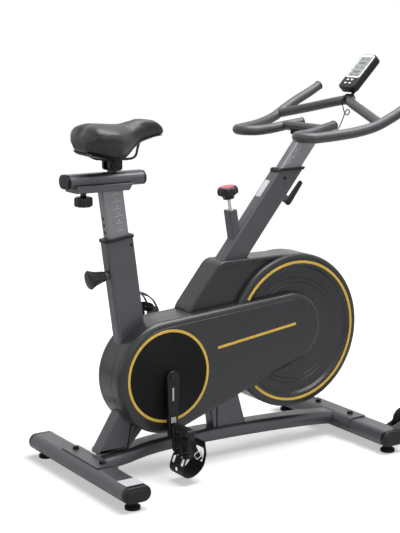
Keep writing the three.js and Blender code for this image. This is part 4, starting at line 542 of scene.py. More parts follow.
PAINT = Finish("graphite frame paint", (88, 89, 93), "frame_paint", Grain.PEEL, 0.36, 0.3, 0.05, grain_scale=700.0,
               wear=0.25, coat=0.12)
BAR_COAT = Finish("dark bar coating", (76, 76, 79), "frame_paint", Grain.PEEL, 0.38, 0.25, 0.06, grain_scale=900.0)
POST = Finish("satin grey post", (138, 139, 142), "post_metal", Grain.BRUSHED, 0.36, 0.6, 0.04, grain_scale=1200.0,
              grain_depth=0.00003, wear=0.3, lines=(1.0, 1.0, 0.03))
CHANNEL = Finish("grey channel paint", (96, 97, 100), "post_metal", Grain.PEEL, 0.4, 0.3, 0.05, grain_scale=800.0,
                 wear=0.2)
COVER = Finish("charcoal cover plastic", (43, 44, 47), "cover_plastic", Grain.SPARK, 0.3, 0.0, 0.06, wear=0.2,
               specular=0.4, coat=0.1)
BLACK = Finish("black plastic", (20, 20, 22), "black_plastic", Grain.SPARK, 0.42, wear=0.25, specular=0.3)
GROOVED = Finish("grooved black plastic", (14, 14, 16), "black_plastic", Grain.SPARK, 0.5, wear=0.1, specular=0.16)
KNOB = Finish("knob plastic", (27, 27, 29), "knob_plastic", Grain.SPARK, 0.36, wear=0.3, specular=0.34)
RUBBER = Finish("black rubber", (20, 20, 21), "rubber", Grain.CAST, 0.72, grain_scale=600.0, grain_depth=0.0001,
                specular=0.2)
ACCENT = Finish("yellow trim", (250, 206, 88), "accent", Grain.SPARK, 0.42, drift=0.04, wear=0.1)
STEEL = Finish("bright steel", (196, 197, 200), "bright_steel", Grain.BRUSHED, 0.26, 1.0, 0.04, grain_scale=1500.0,
               grain_depth=0.00002, lines=(1.0, 0.05, 1.0))
IRON = Finish("turned iron", (104, 103, 101), "iron", Grain.CAST, 0.46, 0.85, 0.1, grain_scale=500.0)
BLACK_METAL = Finish("black metal", (24, 24, 26), "black_metal", Grain.PEEL, 0.36, 0.2, grain_scale=900.0, wear=0.3,
                     specular=0.3)
VINYL = Finish("saddle vinyl", (27, 28, 31), "saddle_cover", Grain.LEATHER, 0.42, 0.0, 0.1, 30.0, 520.0, 0.00008,
               coat=0.06, sheen=0.04)
# Pale grey for the saddle's rear rim: a painted highlight on the rear corner.
PAN_RIM_PAINTED_HIGHLIGHT = Finish("pan rim with painted highlight", (132, 132, 134), "black_plastic", Grain.SPARK, 0.5)
WHITE = Finish("pale plastic", (226, 227, 229), "button_white", Grain.SPARK, 0.4, drift=0.02)
INK = Finish("pale print", (214, 216, 219), "button_white", Grain.PEEL, 0.5, drift=0.03)
RED = Finish("dull red cap", (196, 88, 104), "accent", Grain.SPARK, 0.45, drift=0.05)
SCREEN = Finish("grey display", (140, 146, 143), "black_plastic", Grain.PEEL, 0.2, coat=0.3, drift=0.03)
SEGMENTS = Finish("display segments", (104, 109, 107), "black_plastic", Grain.PEEL, 0.4, drift=0.03)


# Making pieces


def raw_object(name: str, form: Form) -> bpy.types.Object:
    """A form as a mesh in metres of the row's frame, doubles merged and faces turned outwards.

    Outwards is the side on which the sum of area times normal . (centre - middle) is positive.

    Args:
        name: The object's name.
        form: Its surface.

    Returns:
        The object, linked to the scene, at the origin.
    """
    mesh = bpy.data.meshes.new(name)
    places = (form.points + CRANK_SHIFT) * 0.001
    mesh.from_pydata(places.tolist(), [], [face for block in form.faces for face in block.tolist()])
    mesh.attributes.new("wear", "FLOAT", "POINT").data.foreach_set("value", form.wear.astype(np.float32))
    shell = bmesh.new()
    shell.from_mesh(mesh)
    bmesh.ops.remove_doubles(shell, verts=shell.verts, dist=2e-6)
    bmesh.ops.recalc_face_normals(shell, faces=shell.faces)
    middle = Vector(places.mean(0))
    if sum(face.calc_area() * face.normal.dot(face.calc_center_median() - middle) for face in shell.faces) < 0:
        bmesh.ops.reverse_faces(shell, faces=shell.faces)
    shell.to_mesh(mesh)
    shell.free()
    piece = bpy.data.objects.new(name, mesh)
    bpy.context.scene.collection.objects.link(piece)
    return piece


def settle(piece: bpy.types.Object) -> None:
    """Applies a piece's modifiers to its mesh."""
    bpy.context.view_layer.update()
    evaluated = piece.evaluated_get(bpy.context.evaluated_depsgraph_get())
    mesh = bpy.data.meshes.new_from_object(evaluated)
    piece.modifiers.clear()
    piece.data = mesh


def carve(piece: bpy.types.Object, forms: Sequence[Form], operation: str) -> None:
    """Joins forms to a piece or cuts them out of it.

    Args:
        piece: The piece.
        forms: The closed forms.
        operation: UNION or DIFFERENCE.
    """
    tools = [raw_object("tool", form) for form in forms]
    for tool in tools:
        step = piece.modifiers.new("carve", "BOOLEAN")
        step.object = tool
        step.operation = operation
        step.solver = "EXACT"
    settle(piece)
    for tool in tools:
        bpy.data.objects.remove(tool)


def make(name: str, form: Form, finish: Finish, body: str, nodes: Sequence[str] = (), joins: Sequence[Form] = (),
         cuts: Sequence[Form] = (), angle: float = 34.0, wall: float = 0.0) -> bpy.types.Object:
    """Makes a finished piece.

    Args:
        name: The piece's name.
        form: Its surface.
        finish: Its finish.
        body: The CAD body that it rides on.
        nodes: The CAD nodes that it stands for.
        joins: Forms joined to it.
        cuts: Forms cut out of it.
        angle: Edges sharper than this stay crisp, in degrees.
        wall: The thickness that an open surface gets, inwards.

    Returns:
        The piece.
    """
    piece = raw_object(name, form)
    if wall:
        shell = piece.modifiers.new("wall", "SOLIDIFY")
        shell.thickness = wall * 0.001
        shell.offset = -1
        shell.use_even_offset = True
        settle(piece)
    if joins:
        carve(piece, joins, "UNION")
    if cuts:
        carve(piece, cuts, "DIFFERENCE")
    mesh = piece.data
    mesh.shade_smooth()
    mesh.set_sharp_from_angle(angle=math.radians(angle))
    mesh.materials.clear()
    mesh.materials.append(finish.material())
    weigh = piece.modifiers.new("face weighting", "WEIGHTED_NORMAL")
    weigh.keep_sharp = True
    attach(piece, body)
    if nodes:
        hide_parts(*nodes)
    LOG.info("%s: %d faces on %s", name, len(mesh.polygons), body)
    return piece


def dress(finish: Finish, *names: str) -> None:
    """Gives CAD nodes a finish, which leaves their meshes as they are."""
    for name in names:
        mesh = frame["nodes"][name].data
        mesh.materials.clear()
        mesh.materials.append(finish.material())


def numeral(text: str, height: float) -> Form:
    """A numeral as a thin closed form in the plane of its first two axes, about its middle."""
    curve = bpy.data.curves.new("numeral", "FONT")
    curve.body = text
    curve.size = height * 1.4
    curve.extrude = 0.06
    curve.resolution_u = 3
    curve.align_x = "CENTER"
    curve.align_y = "CENTER"
    sign = bpy.data.objects.new("numeral", curve)
    bpy.context.scene.collection.objects.link(sign)
    bpy.context.view_layer.update()
    mesh = sign.evaluated_get(bpy.context.evaluated_depsgraph_get()).to_mesh()
    points = np.empty(len(mesh.vertices) * 3, np.float32)
    mesh.vertices.foreach_get("co", points)
    faces = [np.array([list(face.vertices)]) for face in mesh.polygons]
    bpy.data.objects.remove(sign)
    return Form(points.reshape(-1, 3).astype(float), faces, np.zeros(len(points) // 3))


# The bike's main lines, shared by the sub-assemblies

SEAT = Axes(-69.3, 298.5, -7.8)
HEAD = Axes(375.0, 740.0, 39.0)
BRAKE = Axes(266.0, 750.0, -9.5)
CONSOLE = Axes(733.0, 1095.0, 45.0)
CRANK = (0.0, 298.5)
WHEEL = (471.0, 369.0)
COVER_OUTLINE = wrap((4, 292), 168, (450, 384), 109, 64)


@dataclass
class Studio:
    """The camera at the photograph's angle, the pale floor and the lamps."""

    camera_place: tuple[float, float, float] = (-2.0004, -3.3062, 1.3385)
    azimuth: float = -33.14
    elevation: float = 10.70
    roll: float = 0.12
    lens: float = 91.64
    floor_radius: float = 9.0
    world_levels: tuple[float, float] = (0.15, 0.52)
    floor_glow: float = 0.46
    glow_reach: tuple[float, float] = (0.7, 2.0)
    gloss_share: float = 0.3

    def camera(self) -> None:
        """The camera: its back looks along (sin a cos e, -cos a cos e, sin e), and it rolls about that."""
        a, e, r = (math.radians(v) for v in (self.azimuth, self.elevation, self.roll))
        back = Vector((math.sin(a) * math.cos(e), -math.cos(a) * math.cos(e), math.sin(e)))
        level = Vector((math.cos(a), math.sin(a), 0))
        right = math.cos(r) * level + math.sin(r) * back.cross(level)
        up = back.cross(right)
        lens = bpy.data.cameras.new("camera")
        lens.lens = self.lens
        lens.sensor_fit = "VERTICAL"
        lens.sensor_height = 36
        lens.clip_end = 60
        camera = bpy.data.objects.new("camera", lens)
        place = Vector(self.camera_place) + Vector((CRANK_X, 0, 0))
        camera.matrix_world = Matrix.Translation(place) @ Matrix((right, up, back)).transposed().to_4x4()
        bpy.context.scene.collection.objects.link(camera)
        bpy.context.scene.camera = camera

    def _bright_rays(self, nodes, links):
        """One where a ray comes from the camera or off gloss or glass, so that these see the white background."""
        path = node(nodes, "LightPath")
        most = path.outputs["Is Camera Ray"]
        for name in ("Is Glossy Ray", "Is Transmission Ray"):
            larger = node(nodes, "Math", operation="MAXIMUM")
            links.new(most, larger.inputs[0])
            links.new(path.outputs[name], larger.inputs[1])
            most = larger.outputs["Value"]
        return most

    def floor(self) -> None:
        """The floor: a wide disc whose white shows the object's shadow."""
        ring = circle(self.floor_radius, 96)
        mesh = bpy.data.meshes.new("studio_floor")
        mesh.from_pydata(np.column_stack([ring, np.zeros(len(ring))]).tolist(), [], [list(range(len(ring)))])
        floor = bpy.data.objects.new("studio_floor", mesh)
        bpy.context.scene.collection.objects.link(floor)
        paper = bpy.data.materials.new("studio paper")
        paper.use_nodes = True
        nodes, links = paper.node_tree.nodes, paper.node_tree.links
        shader = nodes["Principled BSDF"]
        shader.inputs["Roughness"].default_value = 0.9
        shader.inputs["Specular IOR Level"].default_value = 0.0
        shade = nodes.new("ShaderNodeValToRGB")
        shade.color_ramp.elements[0].color = (0.74, 0.745, 0.75, 1)
        shade.color_ramp.elements[1].color = (0.78, 0.78, 0.78, 1)
        speckle = node(nodes, "TexNoise", {"Scale": 3.0})
        links.new(node(nodes, "TexCoord").outputs["Object"], speckle.inputs["Vector"])
        links.new(speckle.outputs["Fac"], shade.inputs["Fac"])
        links.new(shade.outputs["Color"], shader.inputs["Base Color"])
        glow = node(nodes, "Emission")
        away = node(nodes, "VectorMath", operation="LENGTH")
        links.new(node(nodes, "TexCoord").outputs["Object"], away.inputs[0])
        near, far = self.glow_reach
        rise = node(nodes, "MapRange", {"From Min": near, "From Max": far, "To Min": self.floor_glow, "To Max": 1.0})
        links.new(away.outputs["Value"], rise.inputs["Value"])
        path = node(nodes, "LightPath")
        gloss = node(nodes, "Math", operation="MULTIPLY_ADD")
        gloss.inputs[1].default_value = self.gloss_share
        links.new(path.outputs["Is Glossy Ray"], gloss.inputs[0])
        links.new(path.outputs["Is Camera Ray"], gloss.inputs[2])
        level = node(nodes, "Math", operation="MULTIPLY")
        links.new(gloss.outputs["Value"], level.inputs[0])
        links.new(rise.outputs["Result"], level.inputs[1])
        links.new(level.outputs["Value"], glow.inputs["Strength"])
        total = node(nodes, "AddShader")
        links.new(shader.outputs["BSDF"], total.inputs[0])
        links.new(glow.outputs["Emission"], total.inputs[1])
        links.new(total.outputs["Shader"], nodes["Material Output"].inputs["Surface"])
        mesh.materials.append(paper)

    def world(self) -> None:
        """The world: light that grows from the horizon up, and white where the background itself is seen."""
        world = bpy.data.worlds.new("studio")
        bpy.context.scene.world = world
        world.use_nodes = True
        nodes, links = world.node_tree.nodes, world.node_tree.links
        light = nodes["Background"]
        apart = node(nodes, "SeparateXYZ")
        links.new(node(nodes, "TexCoord").outputs["Generated"], apart.inputs[0])
        low, high = self.world_levels
        rise = node(nodes, "MapRange", {"From Min": -0.1, "From Max": 0.8, "To Min": low, "To Max": high})
        links.new(apart.outputs["Z"], rise.inputs["Value"])
        links.new(rise.outputs["Result"], light.inputs["Strength"])
        white = node(nodes, "Background", {"Color": (1, 1, 1, 1), "Strength": 1.0})
        mix = node(nodes, "MixShader")
        links.new(self._bright_rays(nodes, links), mix.inputs["Fac"])
        links.new(light.outputs["Background"], mix.inputs[1])
        links.new(white.outputs["Background"], mix.inputs[2])
        links.new(mix.outputs["Shader"], nodes["World Output"].inputs["Surface"])

    def lamp(self, name: str, place: Sequence[float], target: Sequence[float], size: float, watts: float) -> None:
        """A soft square lamp that faces a target.

        Args:
            name: The lamp's name.
            place: Where it hangs, in metres.
            target: What it faces.
            size: The square's side.
            watts: Its power.
        """
        light = bpy.data.lights.new(name, "AREA")
        light.shape = "SQUARE"
        light.size = size
        light.energy = watts
        lamp = bpy.data.objects.new(name, light)
        heading = Vector(place) - Vector(target)
        lamp.rotation_euler = heading.to_track_quat("Z", "Y").to_euler()
        lamp.location = place
        bpy.context.scene.collection.objects.link(lamp)

    def build(self) -> None:
        """Sets up camera, floor, world and lamps."""
        self.camera()
        self.floor()
        self.world()
        self.lamp("overhead softbox", (0.4, -0.3, 3.2), (0, 0, 0.5), 2.4, 130)
        self.lamp("left softbox", (-2.7, 0.1, 1.5), (0, 0, 0.6), 1.5, 7)
        self.lamp("front fill", (-0.6, -3.4, 2.0), (0, 0, 0.6), 2.0, 14)


@dataclass
class ConsoleWire:
    """The thin wire from the console's clip to the handlebar's mount."""

    radius: float = 1.6
    body: str = "handlebar_set"
    route: tuple = (
        (691.2, 0, 1071), (687.5, 0, 1071), (684.5, -0.5, 1057), (689, -1.5, 1037), (694, -2, 1025),
        (701, -3, 1018.5), (709, -4.5, 1023), (708.5, -6, 1032), (700, -7, 1035.5), (691, -8, 1029),
        (680, -10, 1007), (662, -12, 980), (640, -13, 963), (614, -14, 962), (590, -14, 974), (580.4, -14, 974),
    )

    def build(self) -> None:
        """The wire: an open spline through the route."""
        path = smooth_path(self.route, 6)
        places = (path + CRANK_SHIFT) * 0.001
        curve = bpy.data.curves.new("sensor_wire", "CURVE")
        curve.dimensions = "3D"
        curve.bevel_depth = self.radius * 0.001
        curve.bevel_resolution = 4
        curve.use_fill_caps = True
        spline = curve.splines.new("POLY")
        spline.points.add(len(places) - 1)
        spline.points.foreach_set("co", np.column_stack([places, np.ones(len(places))]).ravel())
        curve.materials.append(RUBBER.material())
        wire = bpy.data.objects.new("sensor_wire", curve)
        bpy.context.scene.collection.objects.link(wire)
        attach(wire, self.body)
        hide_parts("console_wire")


@dataclass
class Base:
    """The two stabilisers with their caps and feet, the beam with its brackets, and the transport wheels."""

    rear_x: float = -230.0
    front_x: float = 682.0
    middle_height: float = 48.0
    width: float = 88.0
    height: float = 48.0
    half_length: float = 275.0
    beam: tuple = ((-198, 41), (-180, 49), (-110, 59), (-45, 70), (40, 76), (180, 76), (330, 73), (480, 67),
                   (600, 59), (650, 53))
    rear_plate: float = 108.0
    front_plate: float = 122.0
    plate_thickness: float = 4.0
    foot_y: float = 260.0
    wheel: tuple[float, float, float] = (766.0, 235.0, 83.0)

    def stabiliser(self, name: str, x: float, ears: bool) -> None:
        """A flat oval tube across the bike, with the wheels' ears welded on where it has them.

        Args:
            name: Its CAD node.
            x: Where its middle is.
            ears: Whether it carries the transport wheels.
        """
        section = oval_section(self.width, self.height, 24) + [x, self.middle_height]
        forms = [slab(section, [(2, -self.half_length), (0, -self.half_length), (0, self.half_length),
                                (2, self.half_length)])]
        if ears:
            outline = wrap((707, 54), 15, (self.wheel[0], self.wheel[2]), 11, 16)
            for side in (-1, 1):
                for offset in (-15, 15):
                    middle = side * self.wheel[1] + offset
                    forms.append(slab(outline, edged(middle - 2, middle + 2, 0.8, 3)))
                near, far = side * self.wheel[1] - 17, side * self.wheel[1] + 17
                forms.append(rod((766, near - 1, 83), (766, far + 1, 83), 5))
                forms.append(hexagon(15, 5, (766, near, 83), (0, -1, 0)))
                forms.append(hexagon(15, 5, (766, far, 83), (0, 1, 0)))
        make(f"{name}_tube", joined(*forms), PAINT, "frame", [name])

    def cap(self, name: str, x: float, side: int) -> None:
        """A black end cap: rounded round its rim, with a flat panel raised in its middle."""
        section = oval_section(self.width, self.height, 24) + [x, self.middle_height]
        y = self.half_length
        layers = [(6, y - 6, 0), (3.5, y - 6, 0), (3.5, y + 0.3, 0), (0, y + 0.3, 0), (0, y + 11, 0),
                  (1.2, y + 14, 0.6), (3.6, y + 16, 0.8), (6, y + 16.6, 0.3), (9.5, y + 16.6, 0),
                  (10.2, y + 18.2, 0.7), (12, y + 18.3, 0)]
        form = slab(section, layers)
        make(f"{name}_moulding", form if side > 0 else form.mirrored(), BLACK, "frame", [name])

    def foot(self, name: str, x: float, y: float, body: str) -> None:
        """A levelling foot: a notched round pad, its neck and its stud."""
        profile = [(0, 0), (20, 0), (21.6, 0.5), (22.5, 1.8), (22.5, 8), (21.4, 9.6), (18.5, 10.8), (15.6, 12),
                   (15, 13), (15, 22.6), (14, 23.7), (5, 23.7), (5, 36), (0, 36)]
        make(f"{name}_pad", turned(profile, (x, y, 0), (0, 0, 1), 72, flutes=12, depth=1.2, fluted=(1, 9)),
             RUBBER, body, [name])

    def bracket(self, x: float, facing: int, half: float) -> Form:
        """A bent plate over a stabiliser: a flat, then an arc round the tube's side.

        Args:
            x: The tube's middle.
            facing: 1 where the lip faces the front, -1 where it faces the rear.
            half: Half of its length across the bike.

        Returns:
            The plate as a closed form.
        """
        inner, outer = 24.3, 24.3 + self.plate_thickness
        turn = np.radians(np.linspace(90, -10, 21))
        arc = np.column_stack([np.cos(turn), np.sin(turn)])
        near = np.concatenate([[(-24, inner)], [20, 0] + inner * arc])
        far = np.concatenate([[(-24, outer)], [20, 0] + outer * arc])
        outline = np.concatenate([far, near[::-1]]) * [facing, 1] + [x, self.middle_height]
        layers = [(0.8, -half), (0.4, -half), (0, -half + 0.6), (0, half - 0.6), (0.4, half), (0.8, half)]
        return slab(outline, layers)

    def build(self) -> None:
        """Builds the base."""
        self.stabiliser("rear_stabiliser", self.rear_x, False)
        self.stabiliser("front_stabiliser", self.front_x, True)
        for end, x in (("rear", self.rear_x), ("front", self.front_x)):
            for hand, side in (("left", 1), ("right", -1)):
                self.cap(f"end_cap_{end}_{hand}", x, side)
                self.foot(f"foot_{end}_{hand}", x, side * self.foot_y, f"level_foot_{end}_{hand}")
        line = smooth_path(self.beam, 8)
        path = np.column_stack([line[:, 0], np.zeros(len(line)), line[:, 1]])
        tube = sweep(oval_section(80, 42, 20), path)
        plates = [self.bracket(self.rear_x, 1, self.rear_plate), self.bracket(self.front_x, -1, self.front_plate)]
        make("bottom_beam_tube", joined(tube, *plates), PAINT, "frame", ["bottom_beam"])
        top = self.middle_height + 28.3
        for end, x, y in (("rear", -223.0, 79.0), ("front", 693.0 - 16, 82.0)):
            for hand, side in (("left", 1), ("right", -1)):
                place = (x, side * y, top)
                form = joined(washer(10.5, 5.2, 1.6, place, (0, 0, 1)), hexagon(16, 6.4, (x, side * y, top + 1.6),
                                                                              (0, 0, 1)))
                make(f"bracket_bolt_{end}_{hand}", form, BLACK_METAL, "frame")
        x, y, z = self.wheel
        profile = [(14, -11), (18, -8), (29, -8), (34, -10.6), (36.5, -9.6), (38, -6.5), (38, 6.5), (36.5, 9.6),
                   (34, 10.6), (29, 8), (18, 8), (14, 11), (5.3, 11), (5.3, -11)]
        for hand, side in (("left", 1), ("right", -1)):
            make(f"transport_wheel_{hand}_tyre", turned(profile, (x, side * y, z), (0, 1, 0), 96, loop=True), RUBBER,
                 f"wheel_{hand}", [f"transport_wheel_{hand}"])
        patch = rounded([(-257, -279 + 6), (-199, -279 + 6), (-199, -221), (-257, -221)], 2)
        make("blank_base_label", slab(patch, edged(72.0, 72.25, 0.1, 2, 0.5), Plane.FLAT), INK, "frame")


@dataclass
class FrameTubes:
    """The rear leg, the middle strut, the seat tube and the head tube, with their collars and the small screws."""

    width: float = 45.0
    corner: float = 9.0
    leg_edge: float = 8.0
    leg: tuple = ((-208, 80), (-103, 80), (-44, 143), (16, 203), (16, 298.5), (-71, 298.5))
    strut: tuple = ((200, 60), (323, 60), (282, 202), (224, 392), (212, 450), (146, 450), (176, 202))
    idler: tuple[float, float] = (205.0, 222.26)
    seat_depth: float = 89.0
    head_depth: float = 75.0

    def level_section(self, section: np.ndarray, height: float) -> np.ndarray:
        """A section of the head tube cut level at a height: its x is the section's over cos(tilt), moved with height.

        Args:
            section: The square section.
            height: The height of the cut.

        Returns:
            The cut's outline in space.
        """
        lean = math.radians(HEAD.tilt)
        x = HEAD.x + (height - HEAD.z) * math.tan(lean) + section[:, 0] / math.cos(lean)
        return np.column_stack([x, section[:, 1], np.full(len(section), height)])

    def legs(self) -> None:
        """The rear leg and the middle strut, flat steel boxes with rounded edges."""
        half = self.width / 2
        layers = edged(-half, half, self.leg_edge, 5, 2)
        make("rear_leg_box", slab(rounded(self.leg, [4, 4, 20, 30, 2, 2]), layers), PAINT, "frame", ["rear_leg"])
        x, z = self.idler
        stud = [rod((x, -74, z), (x, -20, z), 5), rod((x, -55.7, z), (x, -20, z), 10),
                rod((x, -74, z), (x, -70.3, z), 10)]
        box = slab(rounded(self.strut, [4, 4, 30, 40, 10, 4, 30]), layers)
        make("mid_strut_box", joined(box, *stud), PAINT, "frame", ["mid_strut"])

    def seat_tube(self) -> None:
        """The seat tube with the threaded boss of its pull pin, and a black collar at its mouth."""
        section = box_section(self.seat_depth, self.width, self.corner)
        tube = slab(section, [(0, -45, 0), (0, 402, 0), (0, 403.5, 0), (0.5, 404.7, 1), (1.4, 405, 0.4), (4, 405, 0)],
                    Plane.FLAT, SEAT)
        boss = turned([(0, 0), (13, 0), (13, 10.8), (11.8, 12), (0, 12)], SEAT.out(np.array([-44.4, 0, 309.0])),
                      SEAT.direction(-1, 0, 0), 48)
        make("seat_tube_box", joined(tube, boss), PAINT, "frame", ["seat_tube"])
        rings = []
        outer = box_section(self.seat_depth + 7, self.width + 7, self.corner + 3.5)
        inner = box_section(68.8, 36.8, 8.4)
        for line, pull, z in ((inner, 0, 405.3), (outer, 0, 405.3), (outer, 0, 411), (outer, 0.8, 412.8),
                              (outer, 2.2, 413.3), (inner, 0, 413.3)):
            rings.append(np.column_stack([inset(tidy(line), pull), np.full(len(tidy(line)), z)]))
        make("seat_collar_moulding", grid(SEAT.out(np.stack(rings)), loop=True), BLACK, "frame", ["seat_tube_collar"])

    def head_tube(self) -> None:
        """The long tube to the handlebar, cut level at its top, with its collar and the lever's boss."""
        section = tidy(box_section(self.head_depth, self.width, self.corner))
        foot = HEAD.out(np.column_stack([section, np.full(len(section), -572.0)]))
        rows = [foot] + [self.level_section(inset(section, pull), z) for pull, z in
                         ((0, 857.0), (0, 859.4), (0.5, 860.6), (1.4, 861.0), (4.0, 861.0))]
        tube = grid(np.stack(rows), wear=[0, 0, 0, 1, 0.4, 0])
        boss = turned([(0, 0), (12, 0), (12, 14.8), (10.8, 16), (0, 16)], HEAD.out(np.array([37.4, 0, 84.0])),
                      HEAD.direction(1, 0, 0), 48)
        make("head_tube_box", joined(tube, boss), PAINT, "frame", ["head_tube"])
        outer = tidy(box_section(self.head_depth + 7, self.width + 7, self.corner + 3.5))
        inner = tidy(box_section(61.8, 36.8, 8.4))
        rows = [self.level_section(line, z) for line, z in (
            (inner, 861.3), (outer, 861.3), (outer, 866.8), (inset(outer, 0.8), 868.5), (inset(outer, 2.2), 869.0),
            (inner, 869.0))]
        make("head_collar_moulding", grid(np.stack(rows), loop=True), BLACK, "frame", ["head_tube_collar"])

    def small_parts(self) -> None:
        """A screw on each tube and the blank label on the head tube's rear face."""
        make("head_tube_screw", hexagon(9, 3, (450, -22.4, 839), (0, -1, 0)), BLACK_METAL, "frame")
        screw = SEAT.out(np.array([33.0, -22.4, 385.0]))
        make("seat_tube_screw", turned([(0, 0), (4.5, 0), (4.5, 1), (3.2, 2.2), (0, 2.6)], screw, (0, -1, 0), 24),
             BLACK_METAL, "frame")
        patch = box_section(26, 60, 3) + [0, 60]
        label = slab(patch, edged(-37.5, -37.75, 0.1, 2, 0.5), Plane.END, HEAD)
        make("blank_head_label", label, INK, "frame")

    def build(self) -> None:
        """Builds the tubes."""
        self.legs()
        self.seat_tube()
        self.head_tube()
        self.small_parts()


@dataclass
class Covers:
    """The belt covers and the flywheel covers on both sides, with their yellow rings and the stripe."""

    seam: float = 8.0
    face: float = 79.0
    fillet: float = 18.0
    wall: float = 3.0
    axle_hole: float = 12.0
    rim: float = 240.0
    wing: tuple = ((202.7, 609), (49.6, 420), (351, 420), (471, 369), (471, 609))
    crank_ring: float = 133.5
    wheel_ring: float = 215.0
    ring_width: float = 8.0
    ring_stand: float = 2.0
    stripe: tuple = ((174.0, 360.0), (454.0, 397.0))

    def holed_cover(self, outline: np.ndarray, layers: Sequence, hole: float, hole_depth: float) -> Form:
        """A moulded cover: its wall and fillet follow the layers, and its face closes in to a round hole.

        The face runs from the last layer's outline to the hole along straight lines, p = (1 - s) edge + s rim, with
        the rim's point at the same angle about the crank as the edge's.

        Args:
            outline: The cover's outline.
            layers: Rows of (inset, y).
            hole: The hole's radius.
            hole_depth: The face's y at the hole.

        Returns:
            The open surface.
        """
        clean = tidy(outline)
        rows = [np.column_stack([inset(clean, pull), np.full(len(clean), y)]) for pull, y in layers]
        edge = rows[-1]
        heading = edge[:, :2] - CRANK
        heading = heading / np.linalg.norm(heading, axis=1, keepdims=True)
        rim = np.column_stack([CRANK + hole * heading, np.full(len(clean), hole_depth)])
        rows += [edge * (1 - s) + rim * s for s in (0.03, 0.4, 0.8, 1.0)]
        return grid(np.stack(rows)[:, :, [0, 2, 1]], caps=False)

    def cover_layers(self, side: int, face: float, fillet: float) -> list[tuple[float, float]]:
        """The layers of a belt cover's wall: from the seam out, round the fillet, over a small lip to the face."""
        turn = np.linspace(0, np.pi / 2, 9)
        edge = [(fillet * (1 - math.cos(t)), side * (face - 1.0 - fillet * (1 - math.sin(t)))) for t in turn]
        start = -self.seam if side < 0 else -self.seam + 0.3
        return [(0, start), (0, side * 29.4), (0.8, side * 29.8), (0.8, side * 31.0), (0, side * 31.4),
                (0, side * (face - fillet - 3)), *edge, (fillet + 0.4, side * (face - 0.9)),
                (fillet + 1.0, side * face), (fillet + 2.5, side * face)]

    def belt_covers(self) -> None:
        """The right cover over the belt, and the left one with its raised boss."""
        right = self.holed_cover(COVER_OUTLINE, self.cover_layers(-1, self.face, self.fillet), self.axle_hole, -79)
        make("belt_cover_right_shell", right, COVER, "frame", ["belt_cover_right"], wall=self.wall)
        left_layers = self.cover_layers(1, 58.0, 18.0)
        turn = np.linspace(0, np.pi / 2, 7)
        boss = [(118 + 10 * math.cos(t), 64 + 10 * math.sin(t)) for t in turn]
        disc = turned([(40, 20), (128, 20), (128, 44), *boss, (116, 74), (self.axle_hole, 74), (self.axle_hole, 71),
                       (114, 71), (124.5, 63), (124.5, 22), (40, 22)], (0, 0, CRANK[1]), (0, 1, 0), 128, loop=True)
        hollow = slab(inset(tidy(COVER_OUTLINE), self.wall), [(0, -12), (0, 40), (4.4, 50.6), (15, 55)])
        opening = turned([(0, 20), (110, 20), (110, 66), (0, 66)], (0, 0, CRANK[1]), (0, 1, 0), 128)
        outside = turned([(0, -30), (self.rim + 0.4, -30), (self.rim + 0.4, 90), (0, 90)], (WHEEL[0], 0, WHEEL[1]),
                         (0, 1, 0), 192)
        make("belt_cover_left_shell", slab(COVER_OUTLINE, left_layers), COVER, "frame", ["belt_cover_left"],
             cuts=[hollow, opening, outside], angle=28)
        make("belt_cover_left_boss", disc, COVER, "frame")

    def flywheel_profile(self, grow: float) -> list[tuple[float, float]]:
        """The rim cover's outer or inner face as (radius, distance from the middle plane), moved in by grow."""
        g = grow
        turn = np.linspace(0, np.pi / 2, 8)
        fillet = [(228 + (12 - g) * math.cos(t), 49 + (12 - g) * math.sin(t)) for t in turn]
        grooves = []
        if not g:
            for radius in (166.0, 152.0):
                grooves += [(radius, 50), (radius - 0.8, 49), (radius - 2.2, 49), (radius - 3, 50)]
        return [*fillet, (224, 61 - g), (207, 61 - g), (204, 60.4 - g), (201.5, 58.6 - g), (197.2, 52 - g),
                (195.5, 50.6 - g), (193, 50 - g), (191, 50 - g), *grooves, (0, 50 - g)]

    def flywheel_covers(self) -> None:
        """The two halves round the flywheel: a dished disc with a deep rim, and a wing that reaches the head tube."""
        centre = (WHEEL[0], 0, WHEEL[1])
        wing = rounded(self.wing, [42, 40, 20, 20, 20], 10)
        cutter = slab(inset(tidy(COVER_OUTLINE), -0.6), [(0, -100), (0, 0.5)])
        for hand, side in (("right", -1), ("left", 1)):
            low = -self.seam if side < 0 else -self.seam + 0.3
            axis = (0, side, 0)
            start = low * side
            outer = turned([(0, start), (self.rim, start), *self.flywheel_profile(0.0)], centre, axis, 160)
            inner = turned([(0, start - 2), (self.rim - self.wall, start - 2), *self.flywheel_profile(self.wall)],
                           centre, axis, 160)
            panel = [(0, low), (0, side * 39), (0.8, side * 42.2), (2.9, side * 44.4), (5, side * 45),
                     (11, side * 45), (12, side * 44.5), (13.4, side * 42.2), (15.5, side * 41.4)]
            raised = slab(wing, panel)
            hollow = slab(inset(tidy(wing), 3), [(0, low - 2 * side), (0, side * 35), (3, side * 38)])
            cuts = [inner, hollow] + ([cutter] if side < 0 else [])
            make(f"flywheel_cover_{hand}_shell", outer, COVER, "frame", [f"flywheel_cover_{hand}"],
                 joins=[raised], cuts=cuts, angle=28)

